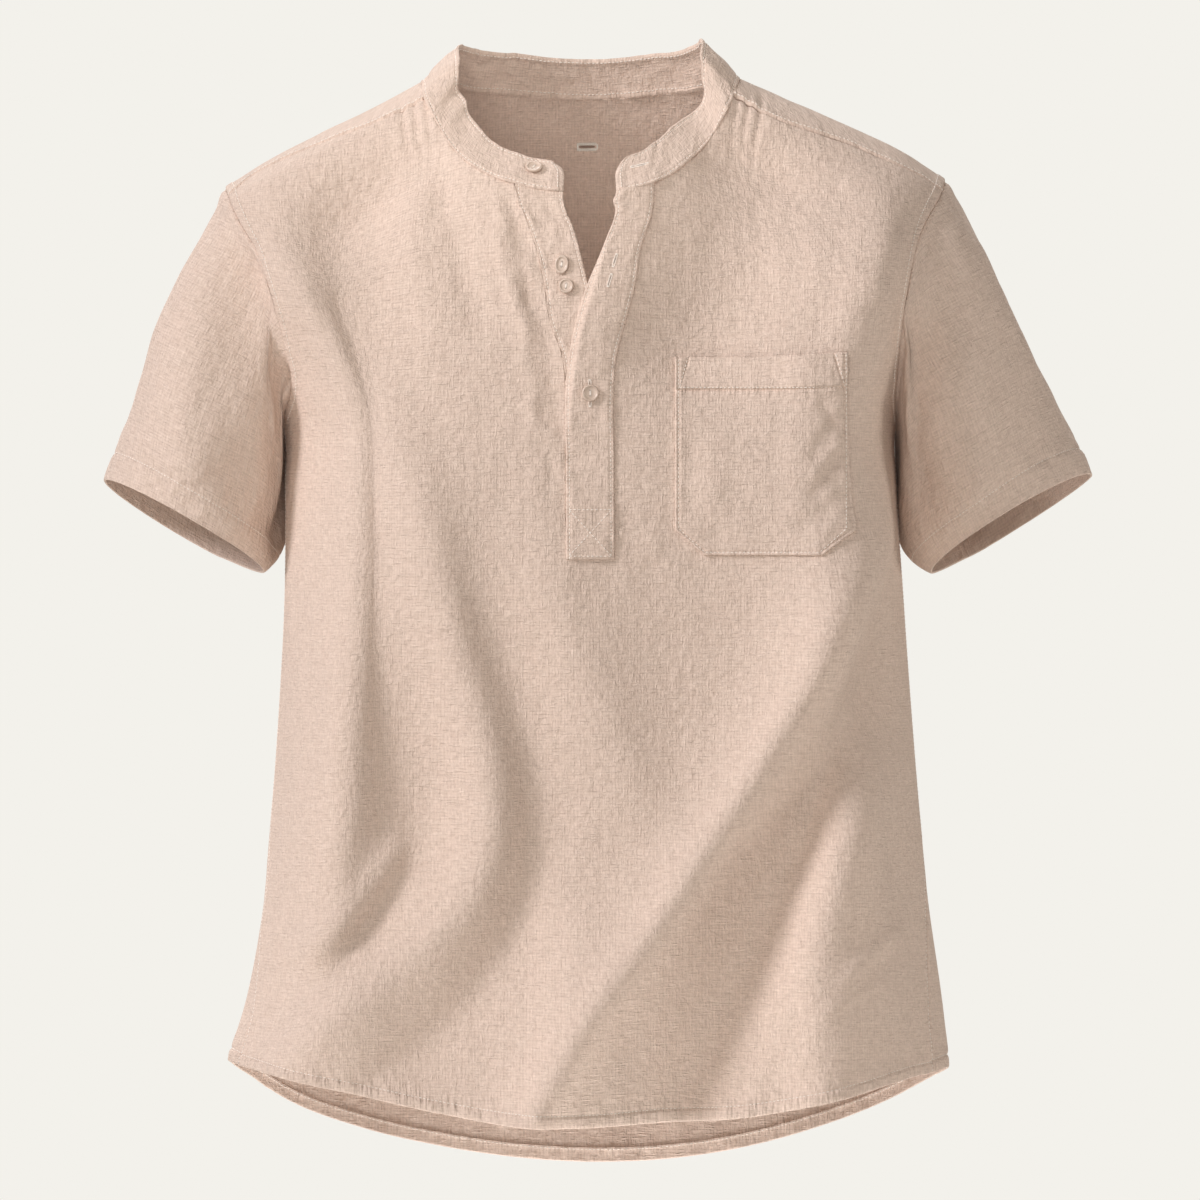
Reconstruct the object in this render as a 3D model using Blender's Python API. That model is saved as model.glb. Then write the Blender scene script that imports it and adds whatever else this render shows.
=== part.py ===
"""Short-sleeved henley shirt, filled out as when it is worn, in metres.

+Z is up, the front of the shirt faces -Y, and the origin is the middle of the
shoulder line, where the wearer holds the shirt up.

The body is one hollow form. Level sections give its half widths and depths,
and a rounded shoulder closes it along a sloping ridge. A point of the form is
named by two angles: `around`, from the middle of a panel to the side, and
`over`, up the chest and over the shoulder ridge. Each panel is a patch of the
form between its own seams; sleeves run from the armholes to the cuffs, and the
collar band stands on the neck edge. Every sheet then gets its wall inwards.
"""
import math

import bmesh
import bpy
import numpy as np
from mathutils import Matrix, Vector

for thing in list(bpy.data.objects):
    bpy.data.objects.remove(thing, do_unlink=True)

# ---------------------------------------------------------------- sizes ----
WALL = 0.0014              # one layer of cloth, with its hems and seams
GAP = 0.0003               # between two pieces at a seam
LIFT = 0.00095             # clearance under what lies on a panel
SECTION_POWER = 2.3        # fullness of a level section: 2 is an ellipse
SHOULDER_ROUND = 0.110     # height over which the shoulder turns over
UNDERARM_HEIGHT = -0.215
NECK_LEVEL = -0.058        # height of the neck edge at the placket
SLIT_BOTTOM = -0.300       # lowest point of the slit under the placket
SLIT_CORNER = -0.284       # where the slit reaches its full width
BOX_BOTTOM = -0.3056       # lower edge of the placket's stitched box
PLACKET_LAP = 0.0025       # how far the placket lies over the slit's edge
SEAM_TURN = 0.26           # radians the side seam swings forward at the hem
SEAM_TURN_FROM = -0.450    # height where that starts
SEAM_TURN_TO = -0.650

SEAM_ROWS = 17             # rows of facets along the side seam
ARMHOLE_ROWS = (5, 3)      # rows beside the front armhole, low and high
BACK_ARMHOLE_ROWS = (6, 3)
SLIT_ROWS = 9              # rows beside the slit
NECK_COLUMNS = 3           # facets along the front neck edge, next to the slit
SHOULDER_COLUMNS = 8       # facets along one shoulder seam
BACK_NECK_COLUMNS = 10
PLACKET_COLUMNS = 3
OVER_ROWS = 17             # rows along the over strip
POCKET_COLUMNS = 9
POCKET_ROWS = 6
SLEEVE_RINGS = 8
COLLAR_RINGS = 3
FINE = 160                 # steps of an edge before it is divided evenly


class Table:
    """A short table with named columns; a smooth curve runs through its rows."""

    def __init__(self, names, rows):
        self.names = names.split()
        self.columns = dict(zip(self.names, np.array(rows, float).T))

    def at(self, column, where):
        keys = self.columns[self.names[0]]
        values = self.columns[column]
        slopes = np.gradient(values, keys)
        where = np.clip(np.asarray(where, float), keys[0], keys[-1])
        i = np.clip(np.searchsorted(keys, where) - 1, 0, len(keys) - 2)
        span = keys[i + 1] - keys[i]
        s = (where - keys[i]) / span
        return ((1 + 2 * s) * (1 - s) ** 2 * values[i]
                + s * (1 - s) ** 2 * span * slopes[i]
                + s * s * (3 - 2 * s) * values[i + 1]
                - s * s * (1 - s) * span * slopes[i + 1])


# Level sections of the body: half widths to each side, half depths.
SECTIONS = Table("height left right front back", [
    (-0.720, 0.2380, 0.2390, 0.099, 0.100),
    (-0.640, 0.2376, 0.2383, 0.104, 0.104),
    (-0.596, 0.2257, 0.2336, 0.108, 0.106),
    (-0.530, 0.2138, 0.2244, 0.112, 0.108),
    (-0.464, 0.2079, 0.2178, 0.115, 0.110),
    (-0.398, 0.2033, 0.2125, 0.117, 0.112),
    (-0.332, 0.2000, 0.2079, 0.119, 0.117),
    (-0.260, 0.1995, 0.2035, 0.120, 0.123),
    (-0.215, 0.2005, 0.2030, 0.118, 0.125),
    (-0.169, 0.2160, 0.2175, 0.113, 0.121),
    (-0.113, 0.2470, 0.2440, 0.102, 0.108),
    (-0.060, 0.2760, 0.2720, 0.088, 0.092),
    (0.000, 0.3000, 0.2960, 0.078, 0.074),
    (0.060, 0.3200, 0.3160, 0.072, 0.066),
])

# The shoulder ridge, by distance from the middle.
RIDGE = Table("out left right", [
    (0.00, 0.0450, 0.0450),
    (0.05, 0.0360, 0.0345),
    (0.10, 0.0146, 0.0124),
    (0.14, -0.0063, -0.0052),
    (0.18, -0.0258, -0.0229),
    (0.21, -0.0413, -0.0373),
    (0.24, -0.0602, -0.0570),
    (0.27, -0.0800, -0.0770),
    (0.30, -0.1000, -0.0970),
])

# Curved tail hems of the two panels.
HEM = Table("out front back", [
    (-0.240, -0.6375, -0.6380),
    (-0.200, -0.6500, -0.6645),
    (-0.150, -0.6600, -0.6828),
    (-0.100, -0.6705, -0.6940),
    (-0.050, -0.6785, -0.7012),
    (0.000, -0.6800, -0.7040),
    (0.050, -0.6780, -0.7028),
    (0.100, -0.6745, -0.6962),
    (0.150, -0.6660, -0.6835),
    (0.200, -0.6540, -0.6650),
    (0.240, -0.6430, -0.6435),
])

# Edges of the two placket strips, from the box up to the neck edge.
PLACKET = Table("height under_seam under_free over_free over_outer", [
    (-0.3056, -0.0147, 0.0136, -0.0145, 0.0178),
    (-0.240, -0.0147, 0.0136, -0.0147, 0.0176),
    (-0.190, -0.0150, 0.0132, -0.0149, 0.0174),
    (-0.170, -0.0172, 0.0112, -0.0127, 0.0192),
    (-0.146, -0.0255, 0.0060, -0.0077, 0.0255),
    (-0.121, -0.0292, 0.0000, 0.0000, 0.0318),
    (-0.101, -0.0332, -0.0048, 0.0085, 0.0345),
    (-0.080, -0.0405, -0.0102, 0.0162, 0.0408),
    (-0.050, -0.0512, -0.0185, 0.0190, 0.0450),
])

# Seams drawn on the form, as seen from the front: distance out and height.
# `face` is -1 on the front of the shoulder ridge, 0 on it, +1 behind it.
NECK_FRONT = [("left", -0.1073, -0.0002), ("left", -0.1003, -0.0132),
              ("left", -0.0871, -0.0317), ("left", -0.0653, -0.0475),
              ("left", -0.0396, -0.0561), ("both", 0.0000, -0.0605),
              ("right", 0.0189, -0.0610), ("right", 0.0433, -0.0541),
              ("right", 0.0686, -0.0343), ("right", 0.0884, -0.0115),
              ("right", 0.0957, 0.0020)]
NECK_BACK = [("left", -0.1073, -0.0002, -1), ("left", -0.1073, 0.0108, 0),
             ("left", -0.0960, 0.0085, 1), ("left", -0.0600, 0.0035, 1),
             ("both", 0.0000, 0.0000, 1),
             ("right", 0.0560, 0.0035, 1), ("right", 0.0860, 0.0090, 1),
             ("right", 0.0978, 0.0135, 0), ("right", 0.0957, 0.0020, -1)]
SHOULDER = {
    "left": [(-0.1073, -0.0002), (-0.1380, -0.0155), (-0.1762, -0.0304),
             (-0.2036, -0.0418), (-0.2222, -0.0521), (-0.2375, -0.0655)],
    "right": [(0.0957, 0.0020), (0.1221, -0.0118), (0.1769, -0.0325),
              (0.2040, -0.0450), (0.2204, -0.0530), (0.2340, -0.0625)]}
ARMHOLE_FRONT = {
    "left": [(-0.2022, -0.193), (-0.2078, -0.169), (-0.2149, -0.145),
             (-0.2244, -0.1135), (-0.2335, -0.080), (-0.2375, -0.0655)],
    "right": [(0.2048, -0.193), (0.2088, -0.169), (0.2130, -0.145),
              (0.2190, -0.1135), (0.2270, -0.080), (0.2340, -0.0625)]}
ARMHOLE_BACK = {
    "left": [(-0.2030, -0.193, 1), (-0.2095, -0.165, 1), (-0.2170, -0.130, 1),
             (-0.2260, -0.095, 1), (-0.2345, -0.070, 1),
             (-0.2400, -0.0602, 0), (-0.2375, -0.0655, -1)],
    "right": [(0.2052, -0.193, 1), (0.2105, -0.165, 1), (0.2165, -0.130, 1),
              (0.2240, -0.095, 1), (0.2315, -0.067, 1),
              (0.2366, -0.0550, 0), (0.2340, -0.0625, -1)]}

# Rise and inward lean of the collar band, by distance along its neck edge.
COLLAR = Table("along rise lean", [
    (0.00, 0.0185, 0.016),
    (0.06, 0.0195, 0.017),
    (0.14, 0.0185, 0.020),
    (0.22, 0.0200, 0.0225),
    (0.29, 0.0235, 0.0225),
    (0.36, 0.0262, 0.019),
    (0.52, 0.0262, 0.012),
    (0.66, 0.0265, 0.019),
    (0.74, 0.0250, 0.023),
    (0.80, 0.0215, 0.0225),
    (0.88, 0.0190, 0.020),
    (0.95, 0.0210, 0.019),
    (1.00, 0.0225, 0.018),
])
# Where the neck edge and the armhole turn the corner of a shoulder.
FRONT_CORNER = {"left": (-0.0780, -0.2244, -0.1135),
                "right": (0.0700, 0.2190, -0.1135)}
COLLAR_END_ROUND = (0.013, 0.017)      # corner radii, under end and over end
COLLAR_HEIGHT = 0.029      # about how wide the band is
COLLAR_END_REACH = 0.050   # how far from its end a round corner shifts the band
NECK_MIDDLE = (-0.005, -0.012, 0.0)

# Cuffs: outer and inner corner, and how far the front lip is raised and the
# back lip hangs across the line between them; `tuck_in` is how far the underside
# comes in behind the side of the body.
CUFFS = {
    "left": dict(outer=(-0.3188, -0.2534), inner=(-0.2140, -0.3138),
                 front=0.0065, back=0.0065, tuck_in=0.0028),
    "right": dict(outer=(0.3320, -0.2501), inner=(0.2270, -0.3145),
                  front=0.0090, back=0.0045, tuck_in=-0.0008)}
CUFF_MIDDLE = 0.022        # how far behind the shoulder line the cuff lies
TUCK_POWER = 9.0           # how late the underside leaves the body: higher is later
TUCK_BACK = 0.022
CUFF_HALF_DEPTH = 0.060
SLEEVE_FULLNESS = 0.012    # how far the sleeve swells fore and aft

# Patch pocket on the front: its edges and the cut corners.
POCKET = dict(left=0.0572, right=0.1722, top=-0.1690, bottom=-0.3030,
              corner_in=0.0190, corner_up=0.0170)

# Largest folds of the front: a bowed line from start over middle to end, the
# half width, and the height, which is negative in a trough.
FOLD_NAMES = ("x0", "z0", "x1", "z1", "x2", "z2", "wide", "high")
FRONT_FOLDS = [
    (0.150, -0.300, 0.095, -0.420, -0.010, -0.610, 0.030, 0.0080),
    (0.175, -0.400, 0.110, -0.500, 0.045, -0.690, 0.028, -0.0070),
    (-0.120, -0.300, -0.085, -0.430, -0.072, -0.520, 0.026, 0.0060),
    (-0.072, -0.510, -0.090, -0.575, -0.175, -0.625, 0.024, 0.0060),
    (-0.050, -0.360, -0.036, -0.480, -0.080, -0.640, 0.026, -0.0065),
    (-0.115, -0.490, -0.170, -0.550, -0.220, -0.590, 0.024, -0.0050),
    (-0.178, -0.110, -0.182, -0.200, -0.170, -0.330, 0.020, -0.0035),
]
BACK_FOLDS = [
    (0.060, -0.300, 0.090, -0.450, 0.120, -0.660, 0.034, -0.0065),
    (-0.020, -0.330, -0.010, -0.500, 0.020, -0.690, 0.034, 0.0065),
    (-0.090, -0.280, -0.110, -0.450, -0.080, -0.670, 0.032, -0.0060),
    (0.150, -0.240, 0.165, -0.400, 0.185, -0.560, 0.026, 0.0045),
]
BUTTONS = {                # piece it lies on, out, height, width, length
    "button_collar": ("collar_band", -0.0356, -0.0480, 0.0108, 0.0108),
    "button_upper": ("placket_under", -0.0172, -0.1113, 0.0092, 0.0130),
    "button_lower": ("placket_under", -0.0143, -0.1255, 0.0100, 0.0100),
    "button_middle": ("placket_over", 0.0013, -0.1960, 0.0113, 0.0113)}
BUTTON_THICK = 0.0024
BUTTON_RIM = 0.0011        # width of the raised rim
BUTTON_DISH = 0.0006       # how deep the middle lies below the rim
BUTTON_SEAT = 0.0007       # thread shank under a button
BUTTON_FACETS = 20

CLOTH_COLOUR = (0.640, 0.490, 0.400)
CLOTH_ROUGH = 0.92
BUTTON_COLOUR = (0.560, 0.430, 0.330)
BUTTON_ROUGH = 0.45


# ------------------------------------------------------- the body's form ----
def half_width(x, z):
    return np.where(x < 0, SECTIONS.at("left", z), SECTIONS.at("right", z))


def ridge_height(x):
    out = np.abs(x)
    return np.where(x < 0, RIDGE.at("left", out), RIDGE.at("right", out))


def power(value):
    return np.sign(value) * np.abs(value) ** (2 / SECTION_POWER)


def angles(x, z, face=-1.0):
    """The two angles of the point of a panel that shows at x, z."""
    x, z, face = np.broadcast_arrays(np.asarray(x, float), z, face)
    part = np.clip(np.abs(x) / half_width(x, z), 0, 1)
    around = np.sign(x) * np.arcsin(part ** (SECTION_POWER / 2))
    down = (ridge_height(x) - z) / SHOULDER_ROUND
    over = np.where(down < 1, np.arcsin(np.clip(1 - down, -1, 1)), 1 - down)
    return np.stack([around, np.where(face == 0, math.pi / 2, over)], -1)


def form(pairs, side):
    """Points of the form from pairs of angles; side is -1 front, +1 back."""
    around, over = pairs[..., 0], pairs[..., 1]
    below = SHOULDER_ROUND * np.where(over > 0, 1 - np.sin(over), 1 - over)
    out = power(np.sin(around))
    z = -below
    for _ in range(20):
        x = out * half_width(out, z)
        z = ridge_height(x) - below
    deep = power(np.cos(around)) * np.where(over > 0, np.cos(over), 1.0)
    front, back = SECTIONS.at("front", z), SECTIONS.at("back", z)
    own, other = (front, back) if side < 0 else (back, front)
    y = side * deep * np.where(deep >= 0, own, other)
    return np.stack([x, y, z], -1)


def form_normal(pairs, side):
    step = 0.004
    left = form(pairs - (step, 0), side)
    right = form(pairs + (step, 0), side)
    low = form(pairs - (0, step), side)
    high = form(pairs + (0, step), side)
    normal = np.cross(right - left, high - low)
    normal /= np.linalg.norm(normal, axis=-1, keepdims=True)
    return normal * (1.0 if side < 0 else -1.0)


def fold_height(x, z, folds):
    """How far the folds move the cloth out at x, z."""
    total = np.zeros(np.shape(x))
    steps = np.linspace(0, 1, 25)
    for row in folds:
        f = dict(zip(FOLD_NAMES, row))
        bx = (1 - steps) ** 2 * f["x0"] + 2 * steps * (1 - steps) * f["x1"] + steps ** 2 * f["x2"]
        bz = (1 - steps) ** 2 * f["z0"] + 2 * steps * (1 - steps) * f["z1"] + steps ** 2 * f["z2"]
        away = np.hypot(x[..., None] - bx, z[..., None] - bz)
        near = away.argmin(-1)
        fade = np.sin(math.pi * np.clip(steps[near], 0.04, 0.96)) ** 0.7
        total = total + f["high"] * fade * np.exp(-(away.min(-1) / f["wide"]) ** 2)
    return total


def drape(pairs, side, out=0.0):
    """The panel's own surface: the form with its folds, moved out by `out`."""
    base = form(pairs, side)
    folds = FRONT_FOLDS if side < 0 else BACK_FOLDS
    calm = np.clip((math.pi / 2 - np.abs(pairs[..., 0])) / 0.45, 0, 1)
    calm = calm * calm * (3 - 2 * calm)
    height = fold_height(base[..., 0], base[..., 2], folds) * calm
    return base + form_normal(pairs, side) * (height + out)[..., None]


# ------------------------------------------------------ edges and patches ----
def divide(pairs, side, cells):
    """Evenly divide an edge, given finely as pairs of angles."""
    points = form(pairs, side)
    run = np.concatenate([[0], np.cumsum(np.linalg.norm(np.diff(points, axis=0), axis=1))])
    stops = np.linspace(0, run[-1], cells + 1)
    return np.stack([np.interp(stops, run, pairs[:, i]) for i in (0, 1)], -1)


def flow(rows, count=FINE):
    """A smooth line through rows of numbers, spaced by their distances."""
    rows = np.array(rows, float)
    run = np.concatenate([[0], np.cumsum(np.linalg.norm(np.diff(rows, axis=0), axis=1))])
    line = Table("run " + " ".join("c%d" % i for i in range(rows.shape[1])),
                 np.column_stack([run, rows]))
    where = np.linspace(0, run[-1], count)
    return np.stack([line.at("c%d" % i, where) for i in range(rows.shape[1])], -1)


def on_back(rows):
    """Angles on the back panel of rows that may cross the ridge to the front."""
    pairs = []
    for x, z, face in rows:
        around, over = angles(x, z, face)
        pairs.append((around, math.pi - over if face < 0 else over))
    return pairs


def to_back(pairs, beyond):
    """The same points named on the other panel, past the side or the ridge."""
    pairs = pairs.copy()
    if beyond == "side":
        pairs[:, 0] = np.sign(pairs[:, 0]) * math.pi - pairs[:, 0]
    else:
        pairs[:, 1] = math.pi - pairs[:, 1]
    return pairs


def patch(bottom, top, left, right):
    """A grid of pairs of angles between four edges."""
    u = np.linspace(0, 1, len(bottom))[None, :, None]
    v = np.linspace(0, 1, len(left))[:, None, None]
    return ((1 - v) * bottom[None] + v * top[None]
            + (1 - u) * left[:, None] + u * right[:, None]
            - (1 - u) * (1 - v) * bottom[0] - u * (1 - v) * bottom[-1]
            - (1 - u) * v * top[0] - u * v * top[-1])


neck_line = flow([row[1:] for row in NECK_FRONT], 4 * FINE)


def neck_height(x):
    return np.interp(x, neck_line[:, 0], neck_line[:, 1])


def seam_turn(z):
    s = np.clip((SEAM_TURN_FROM - z) / (SEAM_TURN_FROM - SEAM_TURN_TO), 0, 1)
    return SEAM_TURN * s * s * (3 - 2 * s)


def side_edge(side_name):
    """The side seam from hem to underarm, as angles on the front."""
    sign = -1 if side_name == "left" else 1
    reach = SECTIONS.at(side_name, -0.640)
    low = float(HEM.at("front", sign * reach))
    z = np.linspace(low, UNDERARM_HEIGHT, FINE)
    around = sign * (math.pi / 2 - seam_turn(z) * (1.0 if sign > 0 else 0.75))
    x = power(np.sin(around)) * half_width(around, z)
    return np.stack([around, 1 - (ridge_height(x) - z) / SHOULDER_ROUND], -1)


def hem_edge(start, end, column):
    """A hem between two angles around the body."""
    around = np.linspace(start, end, FINE)
    x = power(np.sin(around)) * half_width(around, -0.66)
    z = HEM.at(column, x)
    for _ in range(6):
        x = power(np.sin(around)) * half_width(around, z)
        z = HEM.at(column, x)
    return np.stack([around, 1 - (ridge_height(x) - z) / SHOULDER_ROUND], -1)


def cut(line, x):
    """Split a line of angles where its point nearest to x across lies."""
    i = int(np.abs(form(line, -1)[:, 0] - x).argmin())
    return line[:i + 1], line[i:]


EDGES = {}
for name, sign in (("left", -1), ("right", 1)):
    neck_x, arm_x, arm_z = FRONT_CORNER[name]
    seam = side_edge(name)
    shoulder = angles(*flow(SHOULDER[name]).T)
    low = [row for row in ARMHOLE_FRONT[name] if row[1] <= arm_z]
    high = [row for row in ARMHOLE_FRONT[name] if row[1] >= arm_z]
    arm = flow([seam[-1]] + [angles(x, z) for x, z in low + high[1:]], 2 * FINE)
    bend = int(np.abs(arm - angles(arm_x, arm_z)).sum(-1).argmin())
    rows = ARMHOLE_BACK[name]
    back_arm = flow([to_back(seam[-1:], "side")[0]] + on_back(rows), 2 * FINE)
    back_arm[-1] = to_back(shoulder[-1:], "ridge")[0]
    back_bend = int(np.abs(back_arm - on_back(rows[4:5])[0]).sum(-1).argmin())
    back_neck = flow(on_back([row[1:] for row in NECK_BACK
                              if row[0] in (name, "both")][::-sign]), 2 * FINE)
    back_neck[0] = to_back(shoulder[:1], "ridge")[0]
    turn = int(np.abs(back_neck - on_back([NECK_BACK[2 if sign < 0 else -3][1:]])[0])
               .sum(-1).argmin())
    EDGES[name] = dict(
        seam=divide(seam, -1, SEAM_ROWS),
        arm=(divide(arm[:bend + 1], -1, ARMHOLE_ROWS[0]),
             divide(arm[bend:], -1, ARMHOLE_ROWS[1])),
        back_arm=(divide(back_arm[:back_bend + 1], 1, BACK_ARMHOLE_ROWS[0]),
                  divide(back_arm[back_bend:], 1, BACK_ARMHOLE_ROWS[1])),
        back_neck=(divide(back_neck[:turn + 1], 1, BACK_ARMHOLE_ROWS[1]),
                   divide(back_neck[turn:], 1, BACK_NECK_COLUMNS // 2)),
        shoulder=divide(shoulder, -1, SHOULDER_COLUMNS))


def front_half(name):
    """Angles over half of the front: the chest, and the shoulder above it."""
    sign = -1 if name == "left" else 1
    edge = EDGES[name]
    side = np.concatenate([edge["seam"], edge["arm"][0][1:]])
    middle_rows = len(side) - 1 - SLIT_ROWS
    low = np.linspace(float(HEM.at("front", 0.0)), SLIT_BOTTOM, middle_rows + 1)
    column, lap = ("under_seam", 0.0) if name == "left" else ("over_outer", PLACKET_LAP)
    top_z = NECK_LEVEL
    for _ in range(10):
        top_z = float(neck_height(PLACKET.at(column, top_z) - lap))
    high = np.linspace(SLIT_CORNER, top_z, SLIT_ROWS)
    inner = np.concatenate([angles(np.zeros(len(low)), low),
                            angles(PLACKET.at(column, high) - lap, high)])
    top_x = float(PLACKET.at(column, top_z)) - lap
    line = neck_line[(neck_line[:, 0] - top_x) * sign > 0][::sign]
    line = np.concatenate([[(top_x, top_z)], line])
    near, far = cut(angles(line[:, 0], line[:, 1]), FRONT_CORNER[name][0])
    neck, neck_side = divide(near, -1, NECK_COLUMNS), divide(far, -1, ARMHOLE_ROWS[1])
    neck_side[-1] = edge["shoulder"][0]
    share = np.linspace(0, 1, SHOULDER_COLUMNS + 1)[:, None]
    across = (1 - share) * neck[-1] + share * side[-1]
    top = np.concatenate([neck, across[1:]])
    bottom = divide(hem_edge(0.0, edge["seam"][0, 0], "front"), -1, len(top) - 1)
    bottom[-1] = edge["seam"][0]
    return [patch(bottom, top, inner, side),
            patch(across, edge["shoulder"], neck_side, edge["arm"][1])]


def back_panel():
    """Angles over the back: below the shoulders, then the two shoulders."""
    share = np.linspace(0, 1, SHOULDER_COLUMNS + 1)[:, None]
    sides, tops, shoulders = {}, {}, []
    for name in ("left", "right"):
        edge = EDGES[name]
        sides[name] = np.concatenate([to_back(edge["seam"], "side"), edge["back_arm"][0][1:]])
        across = (1 - share) * edge["back_neck"][1][0] + share * sides[name][-1]
        tops[name] = np.concatenate([edge["back_neck"][1][::-1], across[1:]])
        shoulders.append(patch(across, to_back(edge["shoulder"], "ridge"),
                               edge["back_neck"][0][::-1], edge["back_arm"][1]))
    top = np.concatenate([tops["left"][::-1], tops["right"][1:]])
    bottom = divide(hem_edge(sides["left"][0, 0], sides["right"][0, 0], "back"),
                    1, len(top) - 1)
    bottom[0], bottom[-1] = sides["left"][0], sides["right"][0]
    return [patch(bottom, top, sides["left"], sides["right"])] + shoulders


# ------------------------------------------------------------- the sheets ----
def grid_faces(rows, columns, closed=False):
    faces = []
    for r in range(rows - 1):
        for c in range(columns if closed else columns - 1):
            d = (c + 1) % columns
            faces.append((r * columns + c, r * columns + d,
                          (r + 1) * columns + d, (r + 1) * columns + c))
    return faces


class Sheet:
    """Points and faces of a piece's outer surface."""

    def __init__(self, grids, middle, closed=False):
        points, faces = [], []
        for grid in grids:
            rows, columns = grid.shape[:2]
            flat = grid.reshape(-1, 3)
            rings = grid_faces(rows, columns, closed=closed)
            away = 0.0
            for ring in rings:
                p = flat[list(ring)]
                spot = middle(p.mean(0)) if callable(middle) else np.array(middle)
                away += float(np.cross(p[2] - p[0], p[3] - p[1]) @ (p.mean(0) - spot))
            start = sum(len(p) for p in points)
            faces += [[start + i for i in (ring if away > 0 else ring[::-1])]
                      for ring in rings]
            points.append(flat)
        points = np.concatenate(points)
        keys, order = {}, np.empty(len(points), int)
        for i, point in enumerate(np.round(points, 7)):
            order[i] = keys.setdefault(tuple(point + 0.0), len(keys))
        self.points = np.zeros((len(keys), 3))
        self.points[order] = points
        self.faces = []
        for face in faces:
            ring = list(dict.fromkeys(order[i] for i in face))
            if len(ring) > 2:
                self.faces.append(ring)

    def face_normals(self):
        """Each face's normal, as long as twice its area."""
        normals = []
        for ring in self.faces:
            p = self.points[ring]
            normals.append(np.cross(p[2] - p[0], p[-1] - p[1]) if len(p) == 4
                           else np.cross(p[1] - p[0], p[2] - p[0]))
        return np.array(normals)

    def edge_pairs(self):
        """Edges with a face on one side only, in that face's direction."""
        seen = {}
        for ring in self.faces:
            for a, b in zip(ring, ring[1:] + ring[:1]):
                seen[(a, b)] = ring
        return [(a, b, ring) for (a, b), ring in seen.items() if (b, a) not in seen]


def shared_normals(sheets):
    """Unit normals at every point, the same for two pieces where they meet."""
    total, unit = {}, []
    for sheet in sheets:
        for ring, normal in zip(sheet.faces, sheet.face_normals()):
            for i in ring:
                key = tuple(np.round(sheet.points[i], 6) + 0.0)
                total[key] = total.get(key, 0) + normal
    for sheet in sheets:
        out = np.array([total[tuple(np.round(p, 6) + 0.0)] for p in sheet.points])
        unit.append(out / np.linalg.norm(out, axis=1, keepdims=True))
    return unit


def solid(name, sheet, normals, material, wall=WALL):
    """A closed solid: the sheet, its copy one wall further in, and the rims."""
    outer = sheet.points.copy()
    face_dirs = sheet.face_normals()
    face_dirs /= np.linalg.norm(face_dirs, axis=1, keepdims=True)
    lean, count = np.zeros(len(outer)), np.zeros(len(outer))
    for ring, direction in zip(sheet.faces, face_dirs):
        for i in ring:
            lean[i] += max(0.5, float(direction @ normals[i]))
            count[i] += 1
    inner = outer - normals * (wall / (lean / count))[:, None]
    pull = {}
    rims = sheet.edge_pairs()
    for a, b, ring in rims:
        p = outer[ring]
        normal = np.cross(p[2] - p[0], p[-1] - p[1]) if len(p) == 4 else np.cross(p[1] - p[0], p[2] - p[0])
        inward = np.cross(normal, outer[b] - outer[a])
        inward /= np.linalg.norm(inward)
        for i in (a, b):
            pull.setdefault(i, []).append(inward)
    for i, ways in pull.items():
        move = sum(ways) / (1 + float(ways[0] @ ways[-1])) if len(ways) > 1 else ways[0]
        outer[i] += move * GAP / 2
        inner[i] += move * GAP / 2
    mesh = bmesh.new()
    top = [mesh.verts.new(p) for p in outer]
    low = [mesh.verts.new(p) for p in inner]
    for ring in sheet.faces:
        mesh.faces.new([top[i] for i in ring])
        mesh.faces.new([low[i] for i in reversed(ring)])
    for a, b, _ in rims:
        mesh.faces.new([top[b], top[a], low[a], low[b]])
    return finish(name, mesh, material)


def finish(name, mesh, material, turned=False):
    bmesh.ops.triangulate(mesh, faces=mesh.faces)
    if turned:
        bmesh.ops.recalc_face_normals(mesh, faces=mesh.faces)
    data = bpy.data.meshes.new(name)
    mesh.to_mesh(data)
    mesh.free()
    data.materials.append(material)
    thing = bpy.data.objects.new(name, data)
    bpy.context.scene.collection.objects.link(thing)
    return thing


def material(name, colour, rough):
    made = bpy.data.materials.new(name)
    made.use_nodes = True
    shader = made.node_tree.nodes["Principled BSDF"]
    shader.inputs["Base Color"].default_value = (*colour, 1)
    shader.inputs["Roughness"].default_value = rough
    return made


# --------------------------------------------------------- body and neck ----
halves = {name: front_half(name) for name in ("left", "right")}
fronts = {name: [drape(pairs, -1) for pairs in halves[name]] for name in halves}
backs = [drape(pairs, 1) for pairs in back_panel()]

# The seams are shared, so the back takes the front's points along them, and
# both halves of the front share the middle line below the slit.
for name, column, shoulder in (("left", 0, backs[1]), ("right", -1, backs[2])):
    backs[0][:SEAM_ROWS + 1, column] = fronts[name][0][:SEAM_ROWS + 1, -1]
    shoulder[-1] = fronts[name][1][-1]
middle_rows = len(fronts["left"][0]) - SLIT_ROWS
fronts["right"][0][:middle_rows, 0] = fronts["left"][0][:middle_rows, 0]
front_sheet = Sheet(fronts["left"] + fronts["right"], (0, 0.3, -0.35))
back_sheet = Sheet(backs, (0, -0.3, -0.35))

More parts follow.
